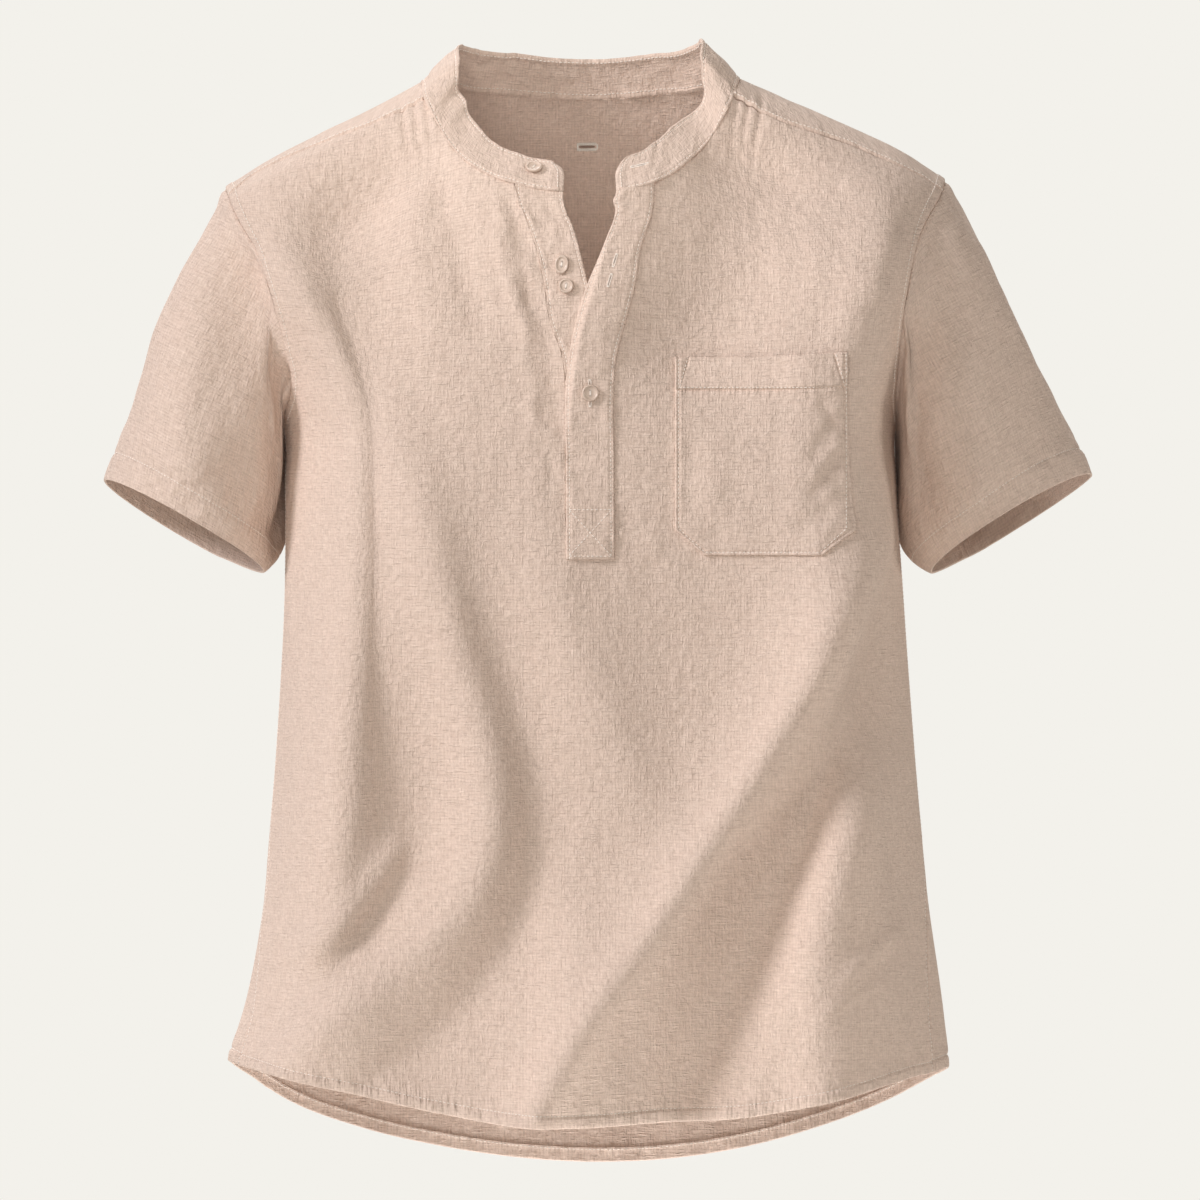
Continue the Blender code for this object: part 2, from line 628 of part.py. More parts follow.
# Under strip: sewn to the left edge of the slit, level with the front.
slit_pairs = halves["left"][0][middle_rows:, 0]
slit_z = form(slit_pairs, -1)[:, 2]
strip = []
for row, z in zip(slit_pairs, slit_z):
    x = np.linspace(float(PLACKET.at("under_seam", z)),
                    float(PLACKET.at("under_free", z)), PLACKET_COLUMNS + 1)
    strip.append(angles(x, np.full(len(x), z)))
strip = np.array(strip)
tops = np.linspace(form(slit_pairs[-1:], -1)[0, 0],
                   float(PLACKET.at("under_free", NECK_LEVEL)), PLACKET_COLUMNS + 1)
strip[-1] = angles(tops, neck_height(tops))
strip_points = drape(strip, -1)
strip_points[:, 0] = fronts["left"][0][middle_rows:, 0]
under_sheet = Sheet([strip_points], (0, 0.3, -0.2))

# Over strip: on top of the slit, from the box up to the neck edge.
over_x = np.linspace(float(PLACKET.at("over_free", NECK_LEVEL)),
                     float(PLACKET.at("over_outer", NECK_LEVEL)), PLACKET_COLUMNS + 1)
over_top = np.stack([over_x, neck_height(over_x) - GAP], -1)
over = []
for s in np.linspace(0, 1, OVER_ROWS):
    z = BOX_BOTTOM + s * (over_top[:, 1] - BOX_BOTTOM)
    share = np.linspace(0, 1, PLACKET_COLUMNS + 1)
    x = (1 - share) * PLACKET.at("over_free", z) + share * PLACKET.at("over_outer", z)
    x = x + (over_x - x) * max(0.0, s * 8 - 7)
    over.append(angles(x, z))
over_sheet = Sheet([drape(np.array(over), -1, WALL + LIFT)], (0, 0.3, -0.2))

# Collar band on the neck edge, from the under strip round to the over strip.
right_end_x = np.linspace(form(halves["right"][0][-1:, 0], -1)[0, 0],
                          float(PLACKET.at("over_free", NECK_LEVEL)), PLACKET_COLUMNS + 1)
right_end = drape(angles(right_end_x, neck_height(right_end_x)), -1)
base = np.concatenate([
    strip_points[-1][::-1],
    fronts["left"][0][-1, 1:NECK_COLUMNS + 1], fronts["left"][1][1:, 0],
    backs[1][:-1, 0][::-1], backs[0][-1, SHOULDER_COLUMNS + 1:-SHOULDER_COLUMNS - 1],
    backs[2][:, 0], fronts["right"][1][:-1, 0][::-1],
    fronts["right"][0][-1, :NECK_COLUMNS][::-1],
    right_end[1:]])


def collar_points(base, rings):
    """The band over its base line: rows from the neck edge to the top edge."""
    run = np.concatenate([[0], np.cumsum(np.linalg.norm(np.diff(base, axis=0), axis=1))])
    total = run[-1]
    tangent = np.gradient(base, run, axis=0)
    inward = np.stack([tangent[:, 1], -tangent[:, 0], np.zeros(len(base))], -1)
    inward /= np.linalg.norm(inward, axis=1, keepdims=True)
    inward *= np.sign(((np.array(NECK_MIDDLE) - base) * inward)[:, :2].sum(1))[:, None]
    rows = []
    for s in np.linspace(0, 1, rings + 1):
        where = run.copy()
        for end, radius in enumerate(COLLAR_END_ROUND):
            tall = COLLAR_HEIGHT * (s - 1) + radius
            back = radius - math.sqrt(max(0.0, radius ** 2 - max(0.0, tall) ** 2))
            share = np.clip(1 - (run if end == 0 else total - run) / COLLAR_END_REACH, 0, 1)
            where = where + back * share * (1 if end == 0 else -1)
        foot = np.stack([np.interp(where, run, base[:, i]) for i in range(3)], -1)
        way = np.stack([np.interp(where, run, inward[:, i]) for i in range(3)], -1)
        part = where / total
        rise, lean = COLLAR.at("rise", part), COLLAR.at("lean", part)
        # the band curves: it stands up first and leans in more at the top
        rows.append(foot + way * (lean * (0.75 * s + 0.25 * s * s))[:, None]
                    + np.array([0, 0, 1]) * (rise * s)[:, None])
    return np.array(rows)


collar_grid = collar_points(base, COLLAR_RINGS)
collar_sheet = Sheet([collar_grid], lambda p: np.array([*NECK_MIDDLE[:2], p[2]]))


# ------------------------------------------------------------ the sleeves ----
def sleeve_points(name):
    """Rings from the armhole, first point under the arm, to the cuff."""
    front = np.concatenate([fronts[name][0][SEAM_ROWS:, -1], fronts[name][1][1:, -1]])
    column, shoulder = (0, backs[1]) if name == "left" else (-1, backs[2])
    back = np.concatenate([backs[0][SEAM_ROWS:, column], shoulder[1:, -1]])
    loop = np.concatenate([front, back[::-1][1:-1]])
    size = CUFFS[name]
    outer, inner = np.array(size["outer"]), np.array(size["inner"])
    middle, half = (outer + inner) / 2, (outer - inner) / 2
    across = np.array([-half[1], half[0]]) / np.linalg.norm(half)
    across *= np.sign(across[1])
    run = np.concatenate([[0], np.cumsum(np.linalg.norm(
        np.diff(np.concatenate([loop, loop[:1]]), axis=0), axis=1))])
    peak = int(loop[:, 2].argmax())
    turn = np.where(np.arange(len(loop)) <= peak,
                    math.pi * run[:-1] / run[peak],
                    math.pi * (1 + (run[:-1] - run[peak]) / (run[-1] - run[peak])))
    toward = np.sin(turn)
    lip = np.where(toward > 0, size["front"], size["back"])
    cuff = np.stack([
        middle[0] - half[0] * np.cos(turn) + across[0] * lip * toward,
        CUFF_MIDDLE - CUFF_HALF_DEPTH * toward,
        middle[1] - half[1] * np.cos(turn) + across[1] * lip * toward], -1)
    under = ((1 + np.cos(turn)) / 2) ** 2
    tuck = 1 + (TUCK_POWER - 1) * under
    sign = -1 if name == "left" else 1
    # under the arm the sleeve lies against the body, a seam's gap away
    loop[:, 0] += sign * 1.5 * GAP * (np.cos(turn) > 0.05)
    rings = []
    for s in np.linspace(0, 1, SLEEVE_RINGS + 1):
        swell = math.sin(math.pi * s)
        x = (loop[:, 0] + (cuff[:, 0] - loop[:, 0]) * s ** tuck
             - sign * size["tuck_in"] * under * swell ** 2)
        y = (loop[:, 1] + (cuff[:, 1] - loop[:, 1]) * s ** 0.8
             + (TUCK_BACK * under - SLEEVE_FULLNESS * toward) * swell)
        z = loop[:, 2] + (cuff[:, 2] - loop[:, 2]) * s
        rings.append(np.stack([x, y, z], -1))
    return np.array(rings)


def sleeve_axis(grid):
    centres = grid.mean(1)

    def nearest(point):
        return centres[np.linalg.norm(centres - point, axis=1).argmin()]
    return nearest


sleeve_grids = {name: sleeve_points(name) for name in ("left", "right")}
sleeve_sheets = {name: Sheet([grid], sleeve_axis(grid), closed=True)
                 for name, grid in sleeve_grids.items()}


# ------------------------------------------------------------- the pocket ----
def pocket_points():
    p = POCKET
    rows = []
    heights = list(np.linspace(p["top"], p["bottom"] + p["corner_up"], POCKET_ROWS))
    heights.append(p["bottom"])
    for z in heights:
        cut = p["corner_in"] if z == p["bottom"] else 0.0
        x = np.linspace(p["left"] + cut, p["right"] - cut, POCKET_COLUMNS)
        rows.append(angles(x, np.full(len(x), z)))
    return drape(np.array(rows), -1, WALL + LIFT)


pocket_sheet = Sheet([pocket_points()], (0.1, 0.3, -0.24))

# ------------------------------------------------------------- the solids ----
sheets = dict(front=front_sheet, back=back_sheet,
              sleeve_left=sleeve_sheets["left"], sleeve_right=sleeve_sheets["right"],
              collar_band=collar_sheet, placket_under=under_sheet)
normals = dict(zip(sheets, shared_normals(list(sheets.values()))))
sheets.update(placket_over=over_sheet, pocket=pocket_sheet)
for name in ("placket_over", "pocket"):
    normals[name] = shared_normals([sheets[name]])[0]
for name, sheet in sheets.items():
    solid(name, sheet, normals[name], material(name + "_cloth", CLOTH_COLOUR, CLOTH_ROUGH))


def nearest_on(sheet_name, x, z):
    """Where a sheet's surface shows at x, z from the front, and its normal."""
    sheet = sheets[sheet_name]
    best = None
    for ring, normal in zip(sheet.faces, sheet.face_normals()):
        p = sheet.points[ring]
        if normal[1] >= 0:
            continue
        centre = p.mean(0)
        normal = normal / np.linalg.norm(normal)
        away = math.hypot(centre[0] - x, centre[2] - z)
        y = centre[1] - (normal[0] * (x - centre[0]) + normal[2] * (z - centre[2])) / normal[1]
        if best is None or away < best[0]:
            best = (away, np.array([x, y, z]), normal)
    return best[1], best[2]


def button(name, on, x, z, wide, long):
    """A turned disc with a raised rim, facing the way its strip does."""
    spot, normal = nearest_on(on, x, z)
    radius = 0.5
    t, rim, dish = BUTTON_THICK, BUTTON_RIM / wide, BUTTON_DISH
    profile = [(0, 0), (radius - 0.10, 0), (radius, 0.35 * t), (radius, 0.65 * t),
               (radius - 0.06, t), (radius - rim, t), (radius - rim - 0.08, t - dish),
               (0, t - dish)]
    mesh = bmesh.new()
    verts = [mesh.verts.new((r, 0, h)) for r, h in profile]
    lines = [mesh.edges.new((a, b)) for a, b in zip(verts, verts[1:])]
    bmesh.ops.spin(mesh, geom=verts + lines, cent=(0, 0, 0), axis=(0, 0, 1),
                   angle=2 * math.pi, steps=BUTTON_FACETS, use_merge=True)
    bmesh.ops.remove_doubles(mesh, verts=mesh.verts, dist=1e-6)
    turn = Vector(normal).to_track_quat("Z", "X").to_matrix().to_4x4()
    up = turn.inverted() @ Vector((0, 0, 1))
    roll = Matrix.Rotation(math.atan2(up.y, up.x) - math.pi / 2, 4, "Z")
    place = (Matrix.Translation(Vector(spot + normal * BUTTON_SEAT)) @ turn @ roll
             @ Matrix.Diagonal((wide, long, 1, 1)))
    bmesh.ops.transform(mesh, matrix=place, verts=mesh.verts)
    return finish(name, mesh, material(name + "_horn", BUTTON_COLOUR, BUTTON_ROUGH), turned=True)


for name, row in BUTTONS.items():
    button(name, *row)
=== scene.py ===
# %% [markdown]
# # A linen henley shirt
# A henley is a shirt that opens only to the chest, by a short placket of two
# strips. This one has a low band collar, short set-in sleeves, a patch pocket
# and a curved tail. It is shown filled out, as on a body that isn't there.
#
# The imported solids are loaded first, as the frame. They give every seam its
# place, and each piece of cloth made below stands for one of them.

# %% Load the frame
import math

import bmesh
import bpy
import numpy as np
from mathutils import Matrix, Vector
from mathutils.kdtree import KDTree


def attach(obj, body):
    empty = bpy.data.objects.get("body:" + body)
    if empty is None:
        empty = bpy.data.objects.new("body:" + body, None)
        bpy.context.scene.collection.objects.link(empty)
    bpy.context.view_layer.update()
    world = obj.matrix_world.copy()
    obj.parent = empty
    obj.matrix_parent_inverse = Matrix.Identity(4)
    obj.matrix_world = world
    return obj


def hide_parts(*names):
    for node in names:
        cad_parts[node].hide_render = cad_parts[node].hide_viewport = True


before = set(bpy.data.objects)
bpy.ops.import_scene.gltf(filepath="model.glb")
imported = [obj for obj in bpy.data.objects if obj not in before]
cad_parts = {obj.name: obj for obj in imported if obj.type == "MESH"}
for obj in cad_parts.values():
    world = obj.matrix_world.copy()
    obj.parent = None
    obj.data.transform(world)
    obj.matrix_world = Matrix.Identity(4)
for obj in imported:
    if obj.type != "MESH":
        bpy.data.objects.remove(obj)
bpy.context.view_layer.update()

print("solids:", ", ".join(sorted(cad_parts)))

# %% [markdown]
# ## Camera, light and floor
# Cloth is judged by its folds, and folds show only in light that comes from
# one side. A large soft lamp stands on the left, as high as it is forward. A
# weak lamp in front, one on the right and the sky keep the shadows open, one
# from above and behind lights the shoulders, and two small ones reach into the
# neck and under the hem. The camera is level and far away, which keeps the
# outline almost free of perspective.

# %% Camera
CAMERA_AWAY = 30.0
FRAME_WIDE = 0.792                      # metres across the frame at the shirt
CAMERA_MIDDLE = (0.0079, -0.332)
SENSOR_WIDE = 36


def placed(name, data):
    """A new object in the scene that shows some data."""
    made = bpy.data.objects.new(name, data)
    bpy.context.scene.collection.objects.link(made)
    return made


camera = placed("camera", bpy.data.cameras.new("camera"))
camera.location = (CAMERA_MIDDLE[0], -CAMERA_AWAY, CAMERA_MIDDLE[1])
camera.rotation_euler = (math.pi / 2, 0, 0)
camera.data.sensor_width = SENSOR_WIDE
camera.data.lens = SENSOR_WIDE * CAMERA_AWAY / FRAME_WIDE
bpy.context.scene.camera = camera
bpy.context.scene.view_settings.view_transform = "Standard"
print("lens:", round(camera.data.lens), "mm")

# %% Lamps
SHIRT_MIDDLE = (0, 0, -0.35)


def lamp(name, place, size, watts, colour=(1, 1, 1), aim=SHIRT_MIDDLE):
    data = bpy.data.lights.new(name, "AREA")
    data.shape, data.size, data.energy, data.color = "DISK", size, watts, colour
    made = placed(name, data)
    made.location = place
    made.rotation_euler = (Vector(aim) - Vector(place)).to_track_quat("-Z", "Y").to_euler()


lamp("key", (-8.1, -3.8, 4.3), 2.4, 696, (0.985, 0.975, 1.02))
lamp("front", (-0.6, -4.7, 0.2), 2.4, 62, (1.0, 0.975, 0.945))
lamp("right", (5.2, 0.0, 1.0), 1.6, 74, (1.0, 0.97, 0.93))
lamp("behind", (-0.6, 3.4, 3.4), 2.5, 150)
lamp("neck", (-0.08, -0.28, 0.14), 0.25, 0.32, (1.0, 0.97, 0.92), (0, 0.05, 0))
lamp("hem", (0.0, 0.0, -0.96), 0.4, 1.15, (0.98, 0.98, 1.0), (0, 0.10, -0.70))

# %% [markdown]
# The sky lights the shirt weakly, while the camera sees the pale ground colour
# in its place. Materials and the sky are trees of nodes, and two small helpers
# keep such trees readable: one makes a node, the other a sum.

# %% Node helpers
def put(tree, kind, **settings):
    """A node with its settings; a socket is set by its name, or linked."""
    node = tree.nodes.new("ShaderNode" + kind)
    for name, value in settings.items():
        if hasattr(node, name):
            setattr(node, name, value)
            continue
        key = int(name[1:]) if name[0] == "i" and name[1:].isdigit() else name.replace("_", " ")
        if isinstance(value, bpy.types.NodeSocket):
            tree.links.new(value, node.inputs[key])
        else:
            node.inputs[key].default_value = value
    return node


def sums(tree, kind, a, b=0.0, c=0.0):
    return put(tree, "Math", operation=kind, i0=a, i1=b, i2=c).outputs[0]

# %% Sky
PAPER = (0.896, 0.879, 0.831, 1)        # the pale ground, as linear colour

world = bpy.data.worlds.new("sky")
bpy.context.scene.world = world
world.use_nodes = True
tree = world.node_tree
sky = tree.nodes["Background"]
sky.inputs["Color"].default_value = (1.0, 0.93, 0.84, 1)
sky.inputs["Strength"].default_value = 0.12
rays = put(tree, "LightPath").outputs
seen = rays["Is Camera Ray"]
for kind in ("Is Transmission Ray", "Is Glossy Ray"):
    seen = sums(tree, "MAXIMUM", seen, rays[kind])
either = put(tree, "MixShader", Fac=seen, i1=sky.outputs[0],
             i2=put(tree, "Background", Color=PAPER).outputs[0])
tree.links.new(either.outputs[0], tree.nodes["World Output"].inputs["Surface"])
print("sky nodes:", len(tree.nodes))

# %% [markdown]
# The floor is a plain pale disc well below the hem. Towards its rim it turns
# clear, so that it runs into the ground colour without an edge.

# %% Floor
FLOOR_LEVEL, FLOOR_RADIUS = -1.15, 4.0
FLOOR_FADE = (0.45, 0.97)               # shares of the radius where it turns clear


def baked(name, mesh):
    """The data of a finished bmesh, which is freed."""
    data = bpy.data.meshes.new(name)
    mesh.to_mesh(data)
    mesh.free()
    return data


def material(name, **settings):
    """A new material, its tree of nodes, and its shader with some sockets set."""
    made = bpy.data.materials.new(name)
    made.use_nodes = True
    shader = made.node_tree.nodes["Principled BSDF"]
    for socket, value in settings.items():
        shader.inputs[socket.replace("_", " ")].default_value = value
    return made, made.node_tree, shader


mesh = bmesh.new()
bmesh.ops.create_circle(mesh, cap_ends=True, radius=FLOOR_RADIUS, segments=96)
bmesh.ops.translate(mesh, verts=mesh.verts, vec=(0, 0, FLOOR_LEVEL))
floor = placed("floor", baked("floor", mesh))

floor_paint, tree, paint = material("floor_paint", Base_Color=PAPER, Roughness=0.95,
                                    Specular_IOR_Level=0.0)
flat = put(tree, "VectorMath", operation="MULTIPLY", i1=(1, 1, 0),
           i0=put(tree, "TexCoord").outputs["Object"])
far = put(tree, "VectorMath", operation="LENGTH", i0=flat.outputs[0]).outputs["Value"]
fade = put(tree, "MapRange", Value=far, From_Min=FLOOR_FADE[0] * FLOOR_RADIUS,
           From_Max=FLOOR_FADE[1] * FLOOR_RADIUS, interpolation_type="SMOOTHSTEP")
both = put(tree, "MixShader", Fac=fade.outputs[0], i1=paint.outputs[0],
           i2=put(tree, "BsdfTransparent").outputs[0])
tree.links.new(both.outputs[0], tree.nodes["Material Output"].inputs["Surface"])
floor.data.materials.append(floor_paint)
print("floor at", FLOOR_LEVEL)

# %% [markdown]
# ## The form under the cloth
# Real shirts are cut flat and hang on a body. Draping that by simulation gives
# different folds each time, and it seldom keeps the cut. So the body of the
# shirt is written down instead: level sections give its half widths and
# depths, and the shoulder turns over along a sloping ridge. All later pieces
# are laid on this one form, so they meet at their seams.

# %% Sizes of the form
SECTION_POWER = 2.3        # fullness of a level section: 2 is an ellipse
CORNER_FULL = 0.28         # extra depth halfway to the side, so the front is flat
SHOULDER_ROUND = 0.110     # height over which the shoulder turns over
UNDERARM_HEIGHT = -0.215
NECK_LEVEL = -0.058        # height of the neck edge at the placket
SLIT_BOTTOM = -0.300       # lowest point of the slit under the placket
SLIT_CORNER = -0.284
BOX_BOTTOM = -0.3056       # lower edge of the placket's stitched box
BOX_TOP = -0.2726
BOX_SIDES = (-0.0125, 0.0156)
PLACKET_LAP = 0.0025
SEAM_TURN = 0.26           # radians the side seam swings forward at the hem
SEAM_TURN_FROM, SEAM_TURN_TO = -0.450, -0.650
SEAM_TURN_LEFT = 0.75      # share of it on the left side
SIDES = (("left", -1), ("right", 1))
FINE = 400                 # steps of an edge before it is divided
FORM_TRIES, HEM_TRIES, SLIT_TRIES = 14, 6, 10   # until width and height agree

# %% A table with a smooth curve
class Table:
    """A short table with named columns; a smooth curve runs through its rows."""

    def __init__(self, names, rows):
        self.names = names.split()
        self.columns = dict(zip(self.names, np.array(rows, float).T))

    def at(self, column, where):
        keys = self.columns[self.names[0]]
        values = self.columns[column]
        slopes = np.gradient(values, keys)
        where = np.clip(np.asarray(where, float), keys[0], keys[-1])
        i = np.clip(np.searchsorted(keys, where) - 1, 0, len(keys) - 2)
        span = keys[i + 1] - keys[i]
        s = (where - keys[i]) / span
        return ((1 + 2 * s) * (1 - s) ** 2 * values[i]
                + s * (1 - s) ** 2 * span * slopes[i]
                + s * s * (3 - 2 * s) * values[i + 1]
                - s * s * (1 - s) * span * slopes[i + 1])

# %% Sections, shoulder ridge and hem
SECTIONS = Table("height left right front back", [
    (-0.720, 0.2380, 0.2390, 0.099, 0.100),
    (-0.640, 0.2376, 0.2383, 0.104, 0.104),
    (-0.596, 0.2257, 0.2336, 0.108, 0.106),
    (-0.530, 0.2138, 0.2244, 0.112, 0.108),
    (-0.464, 0.2079, 0.2178, 0.115, 0.110),
    (-0.398, 0.2033, 0.2125, 0.117, 0.112),
    (-0.332, 0.2000, 0.2079, 0.119, 0.117),
    (-0.260, 0.1995, 0.2035, 0.120, 0.123),
    (-0.215, 0.2005, 0.2030, 0.118, 0.125),
    (-0.169, 0.2160, 0.2175, 0.113, 0.121),
    (-0.113, 0.2470, 0.2440, 0.102, 0.108),
    (-0.060, 0.2760, 0.2720, 0.088, 0.092),
    (0.000, 0.3000, 0.2960, 0.078, 0.074),
    (0.060, 0.3200, 0.3160, 0.072, 0.066),
])
RIDGE = Table("out left right", [
    (0.00, 0.0450, 0.0450), (0.05, 0.0360, 0.0345), (0.10, 0.0146, 0.0124),
    (0.14, -0.0063, -0.0052), (0.18, -0.0258, -0.0229), (0.21, -0.0413, -0.0373),
    (0.24, -0.0602, -0.0570), (0.27, -0.0800, -0.0770), (0.30, -0.1000, -0.0970),
])
HEM = Table("out front back", [
    (-0.240, -0.6375, -0.6380), (-0.200, -0.6500, -0.6645), (-0.150, -0.6600, -0.6828),
    (-0.100, -0.6705, -0.6940), (-0.050, -0.6785, -0.7012), (0.000, -0.6800, -0.7040),
    (0.050, -0.6780, -0.7028), (0.100, -0.6745, -0.6962), (0.150, -0.6660, -0.6835),
    (0.200, -0.6540, -0.6650), (0.240, -0.6430, -0.6435),
])

# %% Edges of the placket and the seams
PLACKET = Table("height under_seam under_free over_free over_outer", [
    (-0.3056, -0.0147, 0.0136, -0.0145, 0.0178), (-0.240, -0.0147, 0.0136, -0.0147, 0.0176),
    (-0.190, -0.0150, 0.0132, -0.0149, 0.0174), (-0.170, -0.0172, 0.0112, -0.0127, 0.0192),
    (-0.146, -0.0255, 0.0060, -0.0077, 0.0255), (-0.121, -0.0292, 0.0000, 0.0000, 0.0318),
    (-0.101, -0.0332, -0.0048, 0.0085, 0.0345), (-0.080, -0.0405, -0.0102, 0.0162, 0.0408),
    (-0.050, -0.0512, -0.0185, 0.0190, 0.0450),
])
# Seams as they show from the front: distance out and height. `face` is -1 in
# front of the shoulder ridge, 0 on it and +1 behind it.
NECK_FRONT = [(-0.1073, -0.0002), (-0.1003, -0.0132), (-0.0871, -0.0317), (-0.0653, -0.0475),
              (-0.0396, -0.0561), (0.0000, -0.0605), (0.0189, -0.0610), (0.0433, -0.0541),
              (0.0686, -0.0343), (0.0884, -0.0115), (0.0957, 0.0020)]
NECK_BACK = {
    "left": [(0.0000, 0.0000, 1), (-0.0250, 0.0004, 1), (-0.0600, 0.0032, 1), (-0.0960, 0.0085, 1),
             (-0.1073, 0.0108, 0), (-0.1073, -0.0002, -1)],
    "right": [(0.0000, 0.0000, 1), (0.0250, 0.0005, 1), (0.0560, 0.0032, 1), (0.0860, 0.0090, 1),
              (0.0978, 0.0135, 0), (0.0957, 0.0020, -1)]}
SHOULDER = {
    "left": [(-0.1073, -0.0002), (-0.1380, -0.0155), (-0.1762, -0.0304),
             (-0.2036, -0.0418), (-0.2222, -0.0521), (-0.2375, -0.0655)],
    "right": [(0.0957, 0.0020), (0.1221, -0.0118), (0.1769, -0.0325),
              (0.2040, -0.0450), (0.2204, -0.0530), (0.2340, -0.0625)]}
ARMHOLE_FRONT = {
    "left": [(-0.2022, -0.193), (-0.2078, -0.169), (-0.2149, -0.145),
             (-0.2244, -0.1135), (-0.2335, -0.080), (-0.2375, -0.0655)],
    "right": [(0.2048, -0.193), (0.2088, -0.169), (0.2130, -0.145),
              (0.2190, -0.1135), (0.2270, -0.080), (0.2340, -0.0625)]}
ARMHOLE_BACK = {
    "left": [(-0.2030, -0.193, 1), (-0.2095, -0.165, 1), (-0.2170, -0.130, 1),
             (-0.2260, -0.095, 1), (-0.2345, -0.070, 1),
             (-0.2400, -0.0602, 0), (-0.2375, -0.0655, -1)],
    "right": [(0.2052, -0.193, 1), (0.2105, -0.165, 1), (0.2165, -0.130, 1),
              (0.2240, -0.095, 1), (0.2315, -0.067, 1),
              (0.2366, -0.0550, 0), (0.2340, -0.0625, -1)]}
FRONT_CORNER = {"left": (-0.0780, -0.2244, -0.1135), "right": (0.0700, 0.2190, -0.1135)}
print("the neck opens by", round(PLACKET.at("over_free", NECK_LEVEL)
                                 - PLACKET.at("under_free", NECK_LEVEL), 4), "m")

# %% [markdown]
# A point of the form is named by two angles: `around`, from the middle of a
# panel to the side, and `over`, up the chest and over the shoulder. Angles
# pass smoothly round the sides and over the ridge, where heights and widths
# alone would fold back on themselves.

# %% The form, from two angles
def half_width(x, z):
    return np.where(x < 0, SECTIONS.at("left", z), SECTIONS.at("right", z))


def ridge_height(x):
    out = np.abs(x)
    return np.where(x < 0, RIDGE.at("left", out), RIDGE.at("right", out))


def power(value):
    return np.sign(value) * np.abs(value) ** (2 / SECTION_POWER)


def depth_share(around):
    """Depth of a section at an angle. Cloth hangs flatter in front than a body."""
    turned = np.minimum(np.abs(around), math.pi - np.abs(around))
    fuller = CORNER_FULL * np.sin(2 * turned) ** 2 * turned / (math.pi / 4)
    return np.sign(np.cos(around)) * (np.abs(power(np.cos(around))) + fuller)

# %% Places to angles and back
def angles(x, z, face=-1.0):
    """The two angles of the point of a panel that shows at x, z."""
    x, z, face = np.broadcast_arrays(np.asarray(x, float), z, face)
    part = np.clip(np.abs(x) / half_width(x, z), 0, 1)
    around = np.sign(x) * np.arcsin(part ** (SECTION_POWER / 2))
    down = (ridge_height(x) - z) / SHOULDER_ROUND
    over = np.where(down < 1, np.arcsin(np.clip(1 - down, -1, 1)), 1 - down)
    return np.stack([around, np.where(face == 0, math.pi / 2, over)], -1)


def form(pairs, side):
    """Points of the form from pairs of angles; side is -1 front, +1 back."""
    around, over = pairs[..., 0], pairs[..., 1]
    below = SHOULDER_ROUND * np.where(over > 0, 1 - np.sin(over), 1 - over)
    out = power(np.sin(around))
    z = -below
    for _ in range(FORM_TRIES):
        x = out * half_width(out, z)
        z = ridge_height(x) - below
    deep = depth_share(around) * np.where(over > 0, np.cos(over), 1.0)
    front, back = SECTIONS.at("front", z), SECTIONS.at("back", z)
    own, other = (front, back) if side < 0 else (back, front)
    y = side * deep * np.where(deep >= 0, own, other)
    return np.stack([x, y, z], -1)

# %% Normals, steps and bells
def unit(vectors):
    return vectors / np.linalg.norm(vectors, axis=-1, keepdims=True)


def form_normal(pairs, side, step=0.004):
    across = form(pairs + (step, 0), side) - form(pairs - (step, 0), side)
    up = form(pairs + (0, step), side) - form(pairs - (0, step), side)
    return unit(np.cross(across, up)) * (1.0 if side < 0 else -1.0)


def smooth(value):
    """From 0 to 1, without a corner at either end."""
    s = np.clip(value, 0, 1)
    return s * s * (3 - 2 * s)


def bell(far, width):
    """1 on a line, falling off to both sides over a width."""
    return np.exp(-(far / width) ** 2)

# %% [markdown]
# ## Grain
# A woven cloth has two directions: the warp runs down the panel, the weft
# across. The weave, the slubs and the puckers all follow them. So each piece
# carries a map in metres: how far a thread is from the middle, and how high it
# lies along the panel, measured over the bulges and not straight through.

# %% Grain of a body panel
def grain(pairs, side, steps=12):
    around, over = pairs[..., 0], pairs[..., 1]
    z = form(pairs, side)[..., 2]
    depth = SECTIONS.at("front" if side < 0 else "back", z)
    weft, last = 0.0, None
    for share in np.linspace(0, 1, steps + 1):
        turned = around * share
        x = power(np.sin(turned)) * half_width(around, z)
        down = (ridge_height(x) - z) / SHOULDER_ROUND
        rise = np.where(down < 1, np.arcsin(np.clip(1 - down, -1, 1)), 0)
        y = depth_share(turned) * np.cos(rise) * depth
        if last is not None:
            weft = weft + np.hypot(x - last[0], y - last[1])
        last = (x, y)
    low = np.minimum(over, 0)
    last = form(np.stack([around, low], -1), side)
    warp = last[..., 2]
    for share in np.linspace(0, 1, steps + 1)[1:]:
        spot = form(np.stack([around, low + (over - low) * share], -1), side)
        warp = warp + np.linalg.norm(spot - last, axis=-1)
        last = spot
    return np.stack([np.sign(around) * weft, warp], -1)

# %% [markdown]
# ## Folds
# Linen hangs in a few broad soft folds that run from where it is held to
# where it hangs free. Each is a bowed line with a height and two flanks, so
# that one flank can be steeper than the other. Smaller unrest comes from a
# smooth seeded noise, because real folds are never even.

# %% Fold lines
FOLD_STEPS = 45            # steps of a crest
FOLD_REACH = 2.8           # flank widths past which a fold is flat
FOLD_ENDS = 4              # it fades over the first and last 1/4 of its line
LATTICE, LATTICE_MIDDLE = 128, 500   # places of the noise, and where it starts


def flow(rows, count):
    """A smooth line through rows of numbers, spaced by their distances."""
    rows = np.array(rows, float)
    run = lengths(rows)
    line = Table("run " + " ".join("c%d" % i for i in range(rows.shape[1])),
                 np.column_stack([run, rows]))
    where = np.linspace(0, run[-1], count)
    return np.stack([line.at("c%d" % i, where) for i in range(rows.shape[1])], -1)


